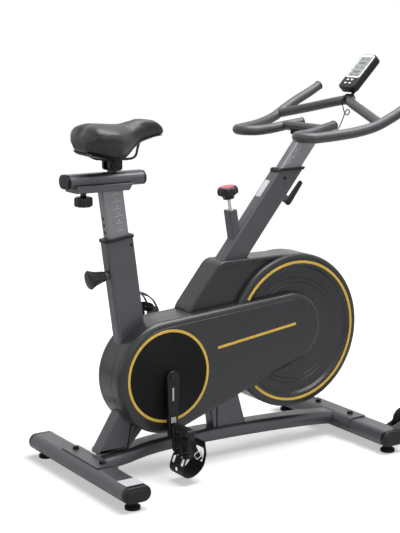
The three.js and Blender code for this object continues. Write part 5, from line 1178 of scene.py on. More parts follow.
    def distance_outside(self, points: np.ndarray) -> np.ndarray:
        """How far points lie outside the belt cover's outline, negative inside.

        About the line between the two circles' centres, with b = (r0 - r1) / length and a = sqrt(1 - b^2), a point at
        (across, along) belongs to the first circle where a along < b across, to the second where a along - b across
        > a length, and else to the tangent, whose distance is a across + b along - r0.
        """
        first, second, near, far = np.array([4.0, 292.0]), np.array([450.0, 384.0]), 168.0, 109.0
        length = np.linalg.norm(second - first)
        line = (second - first) / length
        offset = points - first
        along = offset @ line
        across = np.abs(offset @ np.array([-line[1], line[0]]))
        b = (near - far) / length
        a = math.sqrt(1 - b * b)
        k = a * along - b * across
        round_near = np.linalg.norm(offset, axis=1) - near
        round_far = np.linalg.norm(points - second, axis=1) - far
        return np.where(k < 0, round_near, np.where(k > a * length, round_far, a * across + b * along - near))

    def rings(self) -> None:
        """The yellow rings: whole ones round the cranks and in the left cover, and an open one on the right."""
        half, stand = self.ring_width / 2, self.ring_stand
        section = rounded([(-half, 0), (half, 0), (half, stand), (-half, stand)], 0.7, 3)
        turn = np.linspace(0, 2 * np.pi, 721)
        rim = np.column_stack([WHEEL[0] + self.wheel_ring * np.cos(turn), WHEEL[1] + self.wheel_ring * np.sin(turn)])
        shown = self.distance_outside(rim) > 5.0
        first = int(np.flatnonzero(shown & ~np.roll(shown, 1))[0])
        count = int(shown.sum())
        arc = turn[first] + np.linspace(0, 2 * np.pi * count / 721, count)
        spoke = np.stack([np.cos(arc), np.zeros(count), np.sin(arc)], -1)[:, None]
        radius = self.wheel_ring + section[None, :, :1]
        points = np.array([WHEEL[0], -61.3, WHEEL[1]]) + radius * spoke
        points = points + section[None, :, 1:] * np.array([0.0, -1.0, 0.0])
        make("flywheel_trim_right", grid(points), ACCENT, "frame", ["flywheel_ring_right"])
        whole = section + [self.wheel_ring, 61.3]
        make("flywheel_trim_left", turned(whole, (WHEEL[0], 0, WHEEL[1]), (0, 1, 0), 240, loop=True), ACCENT, "frame")
        right = section + [self.crank_ring, 79.3]
        make("crank_trim_right", turned(right, (0, 0, CRANK[1]), (0, -1, 0), 200, loop=True), ACCENT, "frame",
             ["crank_ring_right"])
        left = section * [0.9, 1] + [108.0, 74.3]
        make("crank_trim_left", turned(left, (0, 0, CRANK[1]), (0, 1, 0), 200, loop=True), ACCENT, "frame")

    def grooved_discs(self) -> None:
        """The black discs behind the cranks: fine rings pressed into them, as a wave over the radius."""
        for hand, side, far, stand in (("right", -1, 128.6, 79.3), ("left", 1, 102.4, 74.3)):
            radius = np.linspace(16.0, far, int((far - 16) * 1.6))
            wave = 0.5 * np.sin(radius * 2 * np.pi / 4.2)
            fade = np.clip((far - radius) / 3, 0, 1) * np.clip((radius - 16) / 3, 0, 1)
            top = np.column_stack([radius, stand + 0.95 + wave * fade])[::-1]
            profile = np.concatenate([[(12.6, stand), (far, stand), (far, stand + 0.8)], top, [(12.6, stand + 0.9)]])
            make(f"crank_disc_{hand}", turned(profile, (0, 0, CRANK[1]), (0, side, 0), 144, loop=True), GROOVED,
                 "frame", angle=60)

    def stripe_bar(self) -> None:
        """The yellow stripe on the right belt cover, a thin bar with round ends."""
        outline = wrap(self.stripe[0], 4, self.stripe[1], 4, 12)
        make("belt_cover_stripe", slab(outline, edged(-79.0, -80.2, 0.5, 3, 0.8)), ACCENT, "frame")

    def details(self) -> None:
        """Small dark tabs under the flywheel cover's edge, and the cover screws on the left."""
        tabs = [slab(box_section(26, 9, 2) + [x, z], edged(-30, -16, 1, 2)) for x, z in ((452, 130.5), (480, 130.5))]
        make("flywheel_cover_tabs", joined(*tabs), BLACK, "frame")
        for number, turn in enumerate(np.radians([20, 95, 160, 250, 320])):
            place = (WHEEL[0] + 180 * math.cos(turn), 50.0, WHEEL[1] + 180 * math.sin(turn))
            screw = turned([(0, 0), (4.5, 0), (4.2, 1.4), (2.4, 2.2), (1.6, 1.2), (0, 1.0)], place, (0, 1, 0), 24)
            make(f"cover_screw_{number + 1}", screw, BLACK_METAL, "frame")

    def build(self) -> None:
        """Builds the covers and their trim."""
        self.belt_covers()
        self.flywheel_covers()
        self.rings()
        self.grooved_discs()
        self.stripe_bar()
        self.details()


@dataclass
class Cranks:
    """The crank arms, the pedals, and the toe cages with strap and buckle."""

    length: float = 170.0
    arm_face: float = 90.0
    arm_thickness: float = 16.0
    hub: float = 21.0
    eye: float = 14.0
    pedal_y: float = 156.0
    left_tilt: float = -45.0
    cage_lean: float = 0.42
    plate: tuple[float, float, float] = (22.0, 92.0, 12.0)
    plate_low: float = -45.0
    plate_high: float = 38.0

    def arm(self, hand: str, side: int) -> None:
        """A crank arm with its pedal spindle: two eyes and the tapering bar between them."""
        end = CRANK[1] + side * self.length
        outline = wrap(CRANK, self.hub, (0.0, end), self.eye, 24)
        near, far = side * self.arm_face, side * (self.arm_face + self.arm_thickness)
        bar = slab(outline, edged(near, far, 3.0, 4, 1.2))
        cap = turned([(0, 0), (12.5, 0), (12.5, 1.6), (11, 2.6), (7, 3), (5.5, 2), (0, 2)], (0, far, CRANK[1]),
                     (0, side, 0), 48)
        spindle = rod((0, near + side * 2, end), (0, side * 196, end), 6.0)
        collar = turned([(0, 0), (8.6, 0), (8.6, 3), (6, 3.6), (0, 3.6)], (0, far, end), (0, side, 0), 32)
        make(f"crank_arm_{hand}_forging", joined(bar, cap, spindle, collar), BLACK_METAL, "crank_set",
             [f"crank_arm_{hand}"])
        # A thin pale strip near the hub and a small pale square near the pedal end, laid flat on the arm's outer face
        # in the pale finish.
        low, high = CRANK[1] + side * 28.5, CRANK[1] + side * 67.5
        strip = rounded([(-4.6, low), (0.6, low), (0.6, high), (-4.6, high)], 2.4)
        make(f"crank_arm_{hand}_strip", slab(strip, edged(far, far + side * 0.3, 0.12, 2, 0.4)), INK, "crank_set")
        low, high = end - side * 36.5, end - side * 53.5
        patch = rounded([(-9.5, low), (7.5, low), (7.5, high), (-9.5, high)], 1.0)
        make(f"crank_arm_{hand}_patch", slab(patch, edged(far, far + side * 0.3, 0.12, 2, 0.4)), INK, "crank_set")

    def pedal_axes(self, side: int) -> Axes:
        """The axes of a pedal about its spindle: the right one hangs straight and the left one lies aslant."""
        return Axes(0.0, CRANK[1] + side * self.length, self.left_tilt if side > 0 else 0.0, side * self.pedal_y)

    def pedal(self, hand: str, side: int) -> None:
        """A pedal: a thick moulded frame with four windows."""
        thick, wide, corner = self.plate
        axes = self.pedal_axes(side)
        middle = (self.plate_high + self.plate_low) / 2
        outline = box_section(wide, self.plate_high - self.plate_low, corner, 6) + [0, middle]
        plate = slab(outline, edged(-thick / 2, thick / 2, 3, 3), Plane.END, axes)
        windows = []
        for low, high in ((10.5, 31.0), (-38.0, -10.5)):
            for hole in (-23, 23):
                shape = rounded([(hole - 15, low), (hole + 15, low), (hole + 15, high), (hole - 15, high)], 4, 4)
                windows.append(slab(shape, [(-2.5, -thick / 2 - 1), (-1, -thick / 2 + 1.5), (0, -thick / 2 + 3),
                                            (0, thick / 2 - 3), (-1, thick / 2 - 1.5), (-2.5, thick / 2 + 1)],
                                    Plane.END, axes))
        bore = turned([(0, -50), (6.5, -50), (6.5, 50), (0, 50)], axes.out(np.zeros(3)), (0, 1, 0), 32)
        make(f"pedal_{hand}_plate", plate, BLACK, f"pedal_set_{hand}", [f"pedal_{hand}"], cuts=[*windows, bore],
             angle=30)
        ends = [turned([(6.6, 0), (10.5, 0), (10, 1.4), (6.6, 1.6)], axes.out(np.array([0, y, 0.0])),
                       (0, way, 0), 32, loop=True) for y, way in ((-46.0, -1), (46.0, 1))]
        barrel = turned([(6.6, -45), (10, -45), (10, 45), (6.6, 45)], axes.out(np.zeros(3)), (0, 1, 0), 40, loop=True)
        make(f"pedal_{hand}_ends", joined(barrel, *ends), KNOB, f"pedal_set_{hand}")

    def cage(self, hand: str, side: int) -> None:
        """The toe cage: a bent sheet with slots, its foot bar screwed to the pedal, the strap and its buckle."""
        axes = self.pedal_axes(side)
        turn = np.linspace(np.pi, 2 * np.pi, 25)
        arc = np.column_stack([25.75 + 35.5 * np.cos(turn), -69.75 + 35.5 * np.sin(turn)])
        heel = np.column_stack([np.full(5, -9.75), np.linspace(-45.6, -68, 5)])
        rise = np.linspace(0, 1, 9)[1:, None] * [(-6.0, 61.75)] + [(61.25, -69.75)]
        line = np.concatenate([heel, arc, rise])
        line[:, 0] += self.cage_lean * np.minimum(0, line[:, 1] + 45)
        run = np.concatenate([[0], np.cumsum(np.linalg.norm(np.diff(line, axis=0), axis=1))])
        across = np.array([-36, -32.5, -29, -23, -17, -13.5, -10, -6.5, 0, 6.5, 10, 13.5, 17, 23, 29, 32.5, 36])
        narrow = 1 - 0.16 * np.clip((run - 130) / 60, 0, 1)
        points = np.stack([np.repeat(line[:, :1], len(across), 1), across[None] * narrow[:, None],
                           np.repeat(line[:, 1:], len(across), 1)], -1)
        mid_run = (run[1:] + run[:-1])[:, None] / 2
        mid_across = np.abs((across[1:] + across[:-1]) / 2)[None]
        slots = (mid_across > 17) & (mid_across < 29) & (mid_run > 9) & (mid_run < 27)
        slots |= (mid_across < 6.6) & (mid_run > 36) & (mid_run < 50)
        window = (mid_across < 24) & (mid_run > 142) & (mid_run < 182)
        sheet = grid(axes.out(points), caps=False, ring=False, keep=~(slots | window))
        cage = raw_object(f"toe_cage_{hand}_sheet", sheet)
        wall = cage.modifiers.new("wall", "SOLIDIFY")
        wall.thickness = 0.0033
        wall.offset = 0
        smooth = cage.modifiers.new("rounding", "SUBSURF")
        smooth.levels = smooth.render_levels = 2
        settle(cage)
        cage.data.shade_smooth()
        cage.data.materials.append(BLACK.material())
        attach(cage, f"pedal_set_{hand}")
        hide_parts(f"toe_cage_{hand}")
        bar = slab(box_section(20, 70, 3, 3) - [1, 0], edged(-49.3, -45.4, 1, 2), Plane.FLAT, axes)
        screws = [turned([(0, 0), (5, 0), (4.6, 1.6), (2.4, 2.4), (0, 2.0)],
                         axes.out(np.array([-11.4, y, -49.5])), axes.direction(-1, 0, 0), 24)
                  for y in (-12.0, 12.0)]
        make(f"toe_cage_{hand}_foot", bar, BLACK, f"pedal_set_{hand}")
        make(f"toe_cage_{hand}_screws", joined(*screws), STEEL, f"pedal_set_{hand}")
        self.strap(hand, side, axes)

    def strap(self, hand: str, side: int, axes: Axes) -> None:
        """The strap, a flat band from the pedal's sides round the front of the cage, and its wire buckle."""
        half = [(0, 47.2, 8), (6, 47.4, -8), (14, 46.6, -25), (30, 42.5, -50), (42, 28, -60), (46, 12, -63)]
        path = smooth_path(half + [(x, -y, z) for x, y, z in half[::-1]], 8)
        section = rounded([(-1.1, -7), (1.1, -7), (1.1, 7), (-1.1, 7)], 0.7, 2)
        band = sweep(section, path, (0.86, 0, 0.5))
        make(f"toe_strap_{hand}", Form(axes.out(band.points), band.faces, band.wear), RUBBER, f"pedal_set_{hand}")
        frame_line = tidy(rounded([(-9, -11), (9, -11), (9, 11), (-9, 11)], 3, 4))
        out = side * 1.0
        centre = np.array([20.0, out * 45.6, -36.0])
        along = np.array([0.5, 0.0, -0.86])
        outward = np.array([0.0, out, 0.0])
        ring = centre + frame_line[:, :1] * along + frame_line[:, 1:] * np.array([0.86, 0, 0.5]) + outward * 2.6
        ahead = np.roll(ring, -1, 0) - np.roll(ring, 1, 0)
        ahead = ahead / np.linalg.norm(ahead, axis=1, keepdims=True)
        across = np.cross(ahead, outward)
        wire = circle(1.2, 12)
        tube = ring[:, None] + wire[None, :, :1] * across[:, None] + wire[None, :, 1:] * outward
        make(f"toe_buckle_{hand}", grid(axes.out(tube), loop=True), STEEL, f"pedal_set_{hand}")

    def build(self) -> None:
        """Builds both sides; the right crank hangs down and the left one stands up."""
        for hand, side in (("right", -1), ("left", 1)):
            self.arm(hand, side)
            self.pedal(hand, side)
            self.cage(hand, side)


@dataclass
class DriveInside:
    """The belt drive behind the covers, kept as the CAD's own solids with their real finishes."""

    iron: tuple[str, ...] = ("flywheel", "flywheel_pulley")
    paint: tuple[str, ...] = ("flywheel_fork", "bottom_bracket_shell")

    def build(self) -> None:
        """Lays the finishes on the solids."""
        dress(IRON, *self.iron)
        dress(PAINT, *self.paint)
        dress(BLACK, "drive_pulley", "idler_pulley")
        dress(RUBBER, "drive_belt", "brake_pad")
        dress(STEEL, "crank_axle", "flywheel_axle")
        LOG.info("drive inside the covers dressed")


@dataclass
class SeatEnd:
    """The seat post with its marks and channel, the slider, the two knobs, the clamp and the rails."""

    post_depth: float = 68.0
    post_width: float = 36.0
    post_corner: float = 8.0
    post_top: float = 842.0
    marks: int = 7
    mark_pitch: float = 20.7
    channel: tuple[float, float] = (-266.0, -88.0)
    slider: tuple[float, float] = (-290.0, -40.0)
    slider_height: float = 873.0
    knob_x: float = -229.0
    clamp_x: float = -136.5
    pivot_height: float = 912.0

    def post(self) -> None:
        """The post, the channel on its top that holds the slider, its pin holes and its marks."""
        section = tidy(box_section(self.post_depth, self.post_width, self.post_corner))
        lean = math.radians(SEAT.tilt)
        low = SEAT.out(np.column_stack([section, np.full(len(section), 215.0)]))
        top = (self.post_top - SEAT.z + section[:, 0] * math.sin(lean)) / math.cos(lean)
        high = SEAT.out(np.column_stack([section, top]))
        stem = grid(np.stack([low, high]))
        arc = np.radians(np.linspace(-33, -90, 10))
        groove = np.column_stack([10 + 20.3 * np.cos(arc), self.slider_height + 20.3 * np.sin(arc)])
        right = np.concatenate([[(35, 844), (35, 861.2), (34.2, 862), (27.6, 862)], groove])
        outline = np.concatenate([[(33, 842)], right, (right * [-1, 1])[::-1], [(-33, 842)]])
        back, front = self.channel
        rows = np.stack([np.column_stack([np.full(len(outline), x), outline]) for x in
                         (back, back + 1, front - 16, front)])
        slope = np.clip((rows[3][:, 2] - 842) / 20, 0, 1)
        rows[3][:, 0] -= 13 * (1 - slope)
        make("seat_post_stem", stem, POST, "seat_stem", ["seat_post"])
        make("seat_post_channel", grid(rows), CHANNEL, "seat_stem")
        holes = [turned([(0, 0), (5.6, 0), (5.2, 0.3), (0, 0.3)],
                        SEAT.out(np.array([-34.0, 0, along])), SEAT.direction(-1, 0, 0), 24)
                 for along in (432.0, 452.0, 472.0)]
        make("seat_post_holes", joined(*holes), BLACK, "seat_stem")
        signs = []
        for i in range(self.marks):
            along = 433.0 + self.mark_pitch * i
            digit = numeral(str(self.marks - i), 7.0)
            place = np.column_stack([digit.points[:, 0] + 6, -18.05 - digit.points[:, 2],
                                     digit.points[:, 1] + along + 7])
            signs.append(Form(SEAT.out(place), digit.faces, digit.wear))
            line = box_section(24, 1.3, 0.4, 2) + [6, along]
            signs.append(slab(line, [(0, -18.0), (0, -18.2)], Plane.SIDE, SEAT))
        make("seat_post_marks", joined(*signs), INK, "seat_stem")

    def slider_tube(self) -> None:
        """The slider: a flat oval tube with a ribbed plug behind, a thin one in front and the clamp's eye on top."""
        rear, front = self.slider
        section = oval_section(60, 40, 20) + [0, self.slider_height]
        tube = slab(section, [(2, rear + 9), (0, rear + 9), (0, front - 9), (2, front - 9)], Plane.END)
        neck = slab(box_section(22, 22, 2) + [0, 0], edged(self.slider_height + 17, self.pivot_height - 3, 0.5, 2),
                    Plane.FLAT, Axes(self.clamp_x))
        eye = turned([(0, -11), (11.4, -11), (12, -10.4), (12, 10.4), (11.4, 11), (0, 11)],
                     (self.clamp_x, 0, self.pivot_height), (0, 1, 0), 48)
        make("seat_slider_tube", joined(tube, neck, eye), PAINT, "fore_aft_slider", ["seat_slider"])
        depth = np.linspace(0, 9, 19)
        ribs = [(0.9 * (i % 4 in (1, 2)), rear + 9.2 - 0.2 - d * 0.93) for i, d in enumerate(depth)]
        plug = slab(section, [(2, rear + 9.2), *ribs, (1.8, rear + 0.1), (4.4, rear), (8, rear)], Plane.END)
        tip = slab(section, [(2, front - 9), (0, front - 8.8), (0, front - 2.4), (1.6, front - 0.8),
                             (4.5, front), (8, front)], Plane.END)
        make("seat_slider_plugs", joined(plug, tip), BLACK, "fore_aft_slider")

    def knobs(self) -> None:
        """The fluted knob under the channel with its stud, and the pull pin with its flared knob."""
        base = 828.0
        profile = [(0, -28), (19, -28), (23.5, -26.4), (26, -23), (26, -5), (24.5, -1.8), (21.5, 0), (11, 0.6),
                   (9.4, 2.4), (8.4, 5), (8, 12.9), (7.2, 13.7), (5, 13.7), (5, 30), (0, 30)]
        make("slider_knob_star", turned(profile, (self.knob_x, 0, base), (0, 0, 1), 96, flutes=8, depth=3.6,
                                        fluted=(-28.5, -1)), KNOB, "fore_aft_knob", ["slider_knob"])
        centre = SEAT.out(np.array([-56.8, 0, 309.0]))
        away = SEAT.direction(-1, 0, 0)
        profile = [(0, -24), (4.2, -24), (5, -22), (5, 0), (14.4, 0), (15, 0.8), (15.6, 4), (16.6, 10), (19.6, 24),
                   (23.6, 36), (26.6, 42), (28, 44.4), (28, 46.4), (26.6, 48.2), (20, 50.6), (12, 51.8), (0, 52)]
        make("seat_pin_knob", turned(profile, centre, away, 96, flutes=10, depth=1.6, fluted=(23, 47)), KNOB,
             "height_pin", ["seat_pin"])

    def clamp(self) -> None:
        """The saddle's clamp: a block with a slot over the slider's eye, serrated side washers, bolt and rails."""
        low, high = 897.0, 935.0
        outline = rounded([(-21, low), (21, low), (21, high), (-21, high)], [9, 9, 6, 6], 6) + [self.clamp_x, 0]
        slot = slab(box_section(80, 40, 1) + [self.clamp_x, 906], [(0, -11.6), (0, 11.6)])
        make("saddle_clamp_block", slab(outline, edged(-23, 23, 2, 3)), BLACK_METAL, "saddle_set", ["saddle_clamp"],
             cuts=[slot])
        forms = []
        for side in (-1, 1):
            forms.append(turned([(0, 0), (14, 0), (15, 1.5), (15, 3.2), (11, 4), (0, 4)],
                                (self.clamp_x, side * 23, self.pivot_height), (0, side, 0), 72, flutes=24, depth=1.2,
                                fluted=(1, 3.3)))
            forms.append(hexagon(13, 4, (self.clamp_x, side * 26.8, self.pivot_height), (0, side, 0)))
        make("saddle_clamp_washers", joined(*forms), BLACK_METAL, "saddle_set")
        rails = []
        for side in (-1, 1):
            y = side * 22.0
            line = [(-215, y * 2, 977.5), (-204, y * 1.7, 949.5), (-178, y, 929.5), (-136.5, y, 929.5),
                    (-76.5, y, 933.5), (-62, y * 0.8, 963.5), (-39, y * 0.55, 1013.5)]
            rails.append(sweep(circle(3.5, 20), smooth_path(line, 10), (0, 1, 0)))
        make("saddle_rails", joined(*rails), BLACK_METAL, "saddle_set")

    def build(self) -> None:
        """Builds the seat end."""
        self.post()
        self.slider_tube()
        self.knobs()
        self.clamp()


@dataclass
class Saddle:
    """The saddle: a swollen, sewn cushion over a moulded base pan.

    At each share of its length the half width, top and underside come from smooth tables. Round that section the
    side is half width times |cos t| to the power 0.72, and the height leaves the shoulder line by the reach to the
    top or underside times |sin t| to a power, less a shallow channel down the middle of the top.
    """

    rear: float = -244.0
    nose: float = 30.0
    half_width: float = 92.0
    channel_depth: float = 4.0
    channel_width: float = 14.0
    widths: tuple = ((0, 0.5), (0.03, 0.74), (0.1, 0.94), (0.2, 1), (0.32, 0.97), (0.45, 0.78), (0.58, 0.54),
                     (0.72, 0.4), (0.86, 0.33), (0.95, 0.27), (1, 0.14))
    tops: tuple = ((0, 990), (0.03, 1012), (0.13, 1028), (0.3, 1025), (0.47, 1022.5), (0.62, 1030), (0.74, 1038),
                   (0.82, 1039.5), (0.9, 1033), (0.96, 1020), (1, 1002))
    bottoms: tuple = ((0, 958), (0.05, 946), (0.2, 934), (0.36, 926), (0.44, 928), (0.52, 938), (0.6, 956),
                      (0.7, 972), (0.8, 980), (0.9, 986), (1, 989))
    pocket: tuple = (-200.0, -70.0, 32.0, 943.0)
    shrink: float = 2.2
    voxel: float = 5.0
    swell: float = 5.0
    swell_base: float = 957.0
    swell_rise: float = 40.0
    swell_least: float = 0.15
    sewn_frames: int = 20

    def along_table(self, table: tuple, along: np.ndarray) -> np.ndarray:
        """A table's value at each share of the length, read off a smooth curve through its points."""
        curve = smooth_path(table, 16)
        return np.interp(along, curve[:, 0], curve[:, 1])

    def surface(self, along: np.ndarray, turn: np.ndarray, grow: float = 0.0) -> np.ndarray:
        """Points of the saddle.

        Args:
            along: Shares of the length, (n,).
            turn: Angles round the section, (m,).
            grow: How far the section is moved out of its CAD size.

        Returns:
            The points, (n, m, 3).
        """
        half = (self.half_width * self.along_table(self.widths, along) + grow)[:, None]
        top = (self.along_table(self.tops, along) + grow)[:, None]
        bottom = (self.along_table(self.bottoms, along) - grow)[:, None]
        side, rise = np.cos(turn)[None], np.sin(turn)[None]
        shoulder = top - (top - bottom) * 0.42
        below = np.maximum(0, -rise)
        draw = 1 - 0.16 * np.sin(np.pi * np.minimum(1, below * 1.1)) - 0.1 * below ** 1.5
        y = half * draw * np.sign(side) * np.abs(side) ** 0.72
        reach = np.where(rise > 0, top - shoulder, shoulder - bottom)
        crown = np.where(rise > 0, np.abs(rise) ** 0.8, np.abs(rise) ** 0.55)
        channel = np.where(rise > 0, self.channel_depth * np.exp(-((y / self.channel_width) ** 2)), 0)
        z = shoulder + np.sign(rise) * reach * crown - channel
        length = self.nose - self.rear - 2 * self.shrink * (grow < 0)
        x = self.rear + self.shrink * (grow < 0) + length * along[:, None] + 0 * y
        return np.stack([x, y, z], -1)

    def cushion_form(self) -> Form:
        """The cushion before it swells, on stations that crowd towards both ends."""
        along = 0.5 - 0.5 * np.cos(np.linspace(0, np.pi, 73))
        turn = np.linspace(0, 2 * np.pi, 96, endpoint=False) + np.pi / 96
        points = self.surface(along, turn, -self.shrink)
        points[..., 2] = np.where(self.in_pocket(points, 3), self.pocket[3], points[..., 2])
        return grid(points)

    def puff(self, piece: bpy.types.Object) -> None:
        """Swells the cushion as cloth under pressure, and caps how far a point may move.

        Args:
            piece: The cushion, a closed mesh.
        """
        remesh = piece.modifiers.new("even cells", "REMESH")
        remesh.mode = "VOXEL"
        remesh.voxel_size = self.voxel * 0.001
        settle(piece)
        count = len(piece.data.vertices)
        start = np.empty(count * 3, np.float32)
        piece.data.vertices.foreach_get("co", start)
        cloth = piece.modifiers.new("pressure", "CLOTH")
        cloth.settings.use_pressure = True
        cloth.settings.uniform_pressure_force = 4.0
        cloth.settings.effector_weights.gravity = 0.0
        cloth.settings.tension_stiffness = 20
        cloth.settings.compression_stiffness = 20
        cloth.settings.bending_stiffness = 2
        cloth.point_cache.frame_start = 1
        cloth.point_cache.frame_end = self.sewn_frames
        for number in range(1, self.sewn_frames + 1):
            bpy.context.scene.frame_set(number)
        settle(piece)
        bpy.context.scene.frame_set(1)
        end = np.empty(count * 3, np.float32)
        piece.data.vertices.foreach_get("co", end)
        start, end = start.reshape(-1, 3), end.reshape(-1, 3)
        move = end - start
        far = np.linalg.norm(move, axis=1, keepdims=True)
        height = start[:, 2:] * 1000
        cap = self.swell * 0.001 * np.clip((height - self.swell_base) / self.swell_rise, self.swell_least, 1)
        move = move * np.minimum(1, cap / np.maximum(far, 1e-9))
        piece.data.vertices.foreach_set("co", (start + move).ravel())

    def seam_line(self, tree: BVHTree, along: np.ndarray, turn: np.ndarray) -> np.ndarray:
        """A line on the swollen cushion: the surface's points moved to the nearest place on it, in millimetres."""
        points = np.concatenate([self.surface(along[i:i + 1], turn[i:i + 1])[0] for i in range(len(along))])
        metres = (points + CRANK_SHIFT) * 0.001
        found = [tree.find_nearest(Vector(place)) for place in metres]
        return np.array([(hit[0] + hit[1] * 0.0002) * 1000 for hit in found]) - CRANK_SHIFT

    def seams(self, cushion: bpy.types.Object) -> None:
        """One thin sewn seam round the cushion, just below its top."""
        places = [vertex.co.copy() for vertex in cushion.data.vertices]
        tree = BVHTree.FromPolygons(places, [list(face.vertices) for face in cushion.data.polygons])
        along = 0.012 + 0.972 * (0.5 - 0.5 * np.cos(np.pi * np.linspace(0, 1, 110)))
        one = self.seam_line(tree, along, np.full(len(along), 0.4))
        other = self.seam_line(tree, along, np.full(len(along), np.pi - 0.4))
        loop = np.concatenate([one, other[::-1]])
        section = circle(0.7, 8)
        ahead = np.roll(loop, -1, 0) - np.roll(loop, 1, 0)
        ahead = ahead / np.linalg.norm(ahead, axis=1, keepdims=True)
        side = np.cross(ahead, [0.0, 0.0, 1.0])
        side = side / np.linalg.norm(side, axis=1, keepdims=True)
        lift = np.cross(side, ahead)
        tube = loop[:, None] + section[None, :, :1] * side[:, None] + section[None, :, 1:] * lift[:, None]
        make("saddle_seam", grid(tube, loop=True), VINYL, "saddle_set")

    def in_pocket(self, points: np.ndarray, margin: float) -> np.ndarray:
        """Whether points lie over the pocket in the base that the rails run in, widened by a margin."""
        rear, front, half, height = self.pocket
        inside = (points[..., 0] > rear - margin) & (points[..., 0] < front + margin)
        return inside & (np.abs(points[..., 1]) < half + margin) & (points[..., 2] < height)

    def pan(self) -> None:
        """The moulded pan under the cushion, with a thin rim at the rear whose pale grey is a painted highlight."""
        along = np.linspace(0.03, 0.96, 60)
        turn = np.linspace(np.pi + 0.80, 2 * np.pi - 0.80, 41)
        points = self.surface(along, turn, 0.6)
        points[..., 2] -= 0.4
        middle = (points[:-1, :-1] + points[1:, 1:]) / 2
        pan = grid(points, caps=False, ring=False, keep=~self.in_pocket(middle, 0))
        make("saddle_pan", pan, BLACK, "saddle_set", wall=2.4)
        # A thin rim round the rear of the pan, pale grey as a painted highlight on the rear corner.
        highlight_rim_turn = np.linspace(np.pi + 0.8, 2 * np.pi - 0.8, 40)
        rim = self.surface(np.array([0.05]), highlight_rim_turn, 1.2)[0]
        make("saddle_rear_rim_painted_highlight", sweep(circle(1.1, 10), rim, (1, 0, 0)), PAN_RIM_PAINTED_HIGHLIGHT, "saddle_set")

    def build(self) -> None:
        """Builds the cushion, its seams and its pan."""
        cushion = raw_object("saddle_cushion", self.cushion_form())
        self.puff(cushion)
        smooth = cushion.modifiers.new("smooth", "SUBSURF")
        smooth.levels = smooth.render_levels = 1
        settle(cushion)
        cushion.data.shade_smooth()
        cushion.data.materials.clear()
        cushion.data.materials.append(VINYL.material())
        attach(cushion, "saddle_set")
        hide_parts("saddle")
        LOG.info("saddle cushion: %d faces", len(cushion.data.polygons))
        self.seams(cushion)
        self.pan()


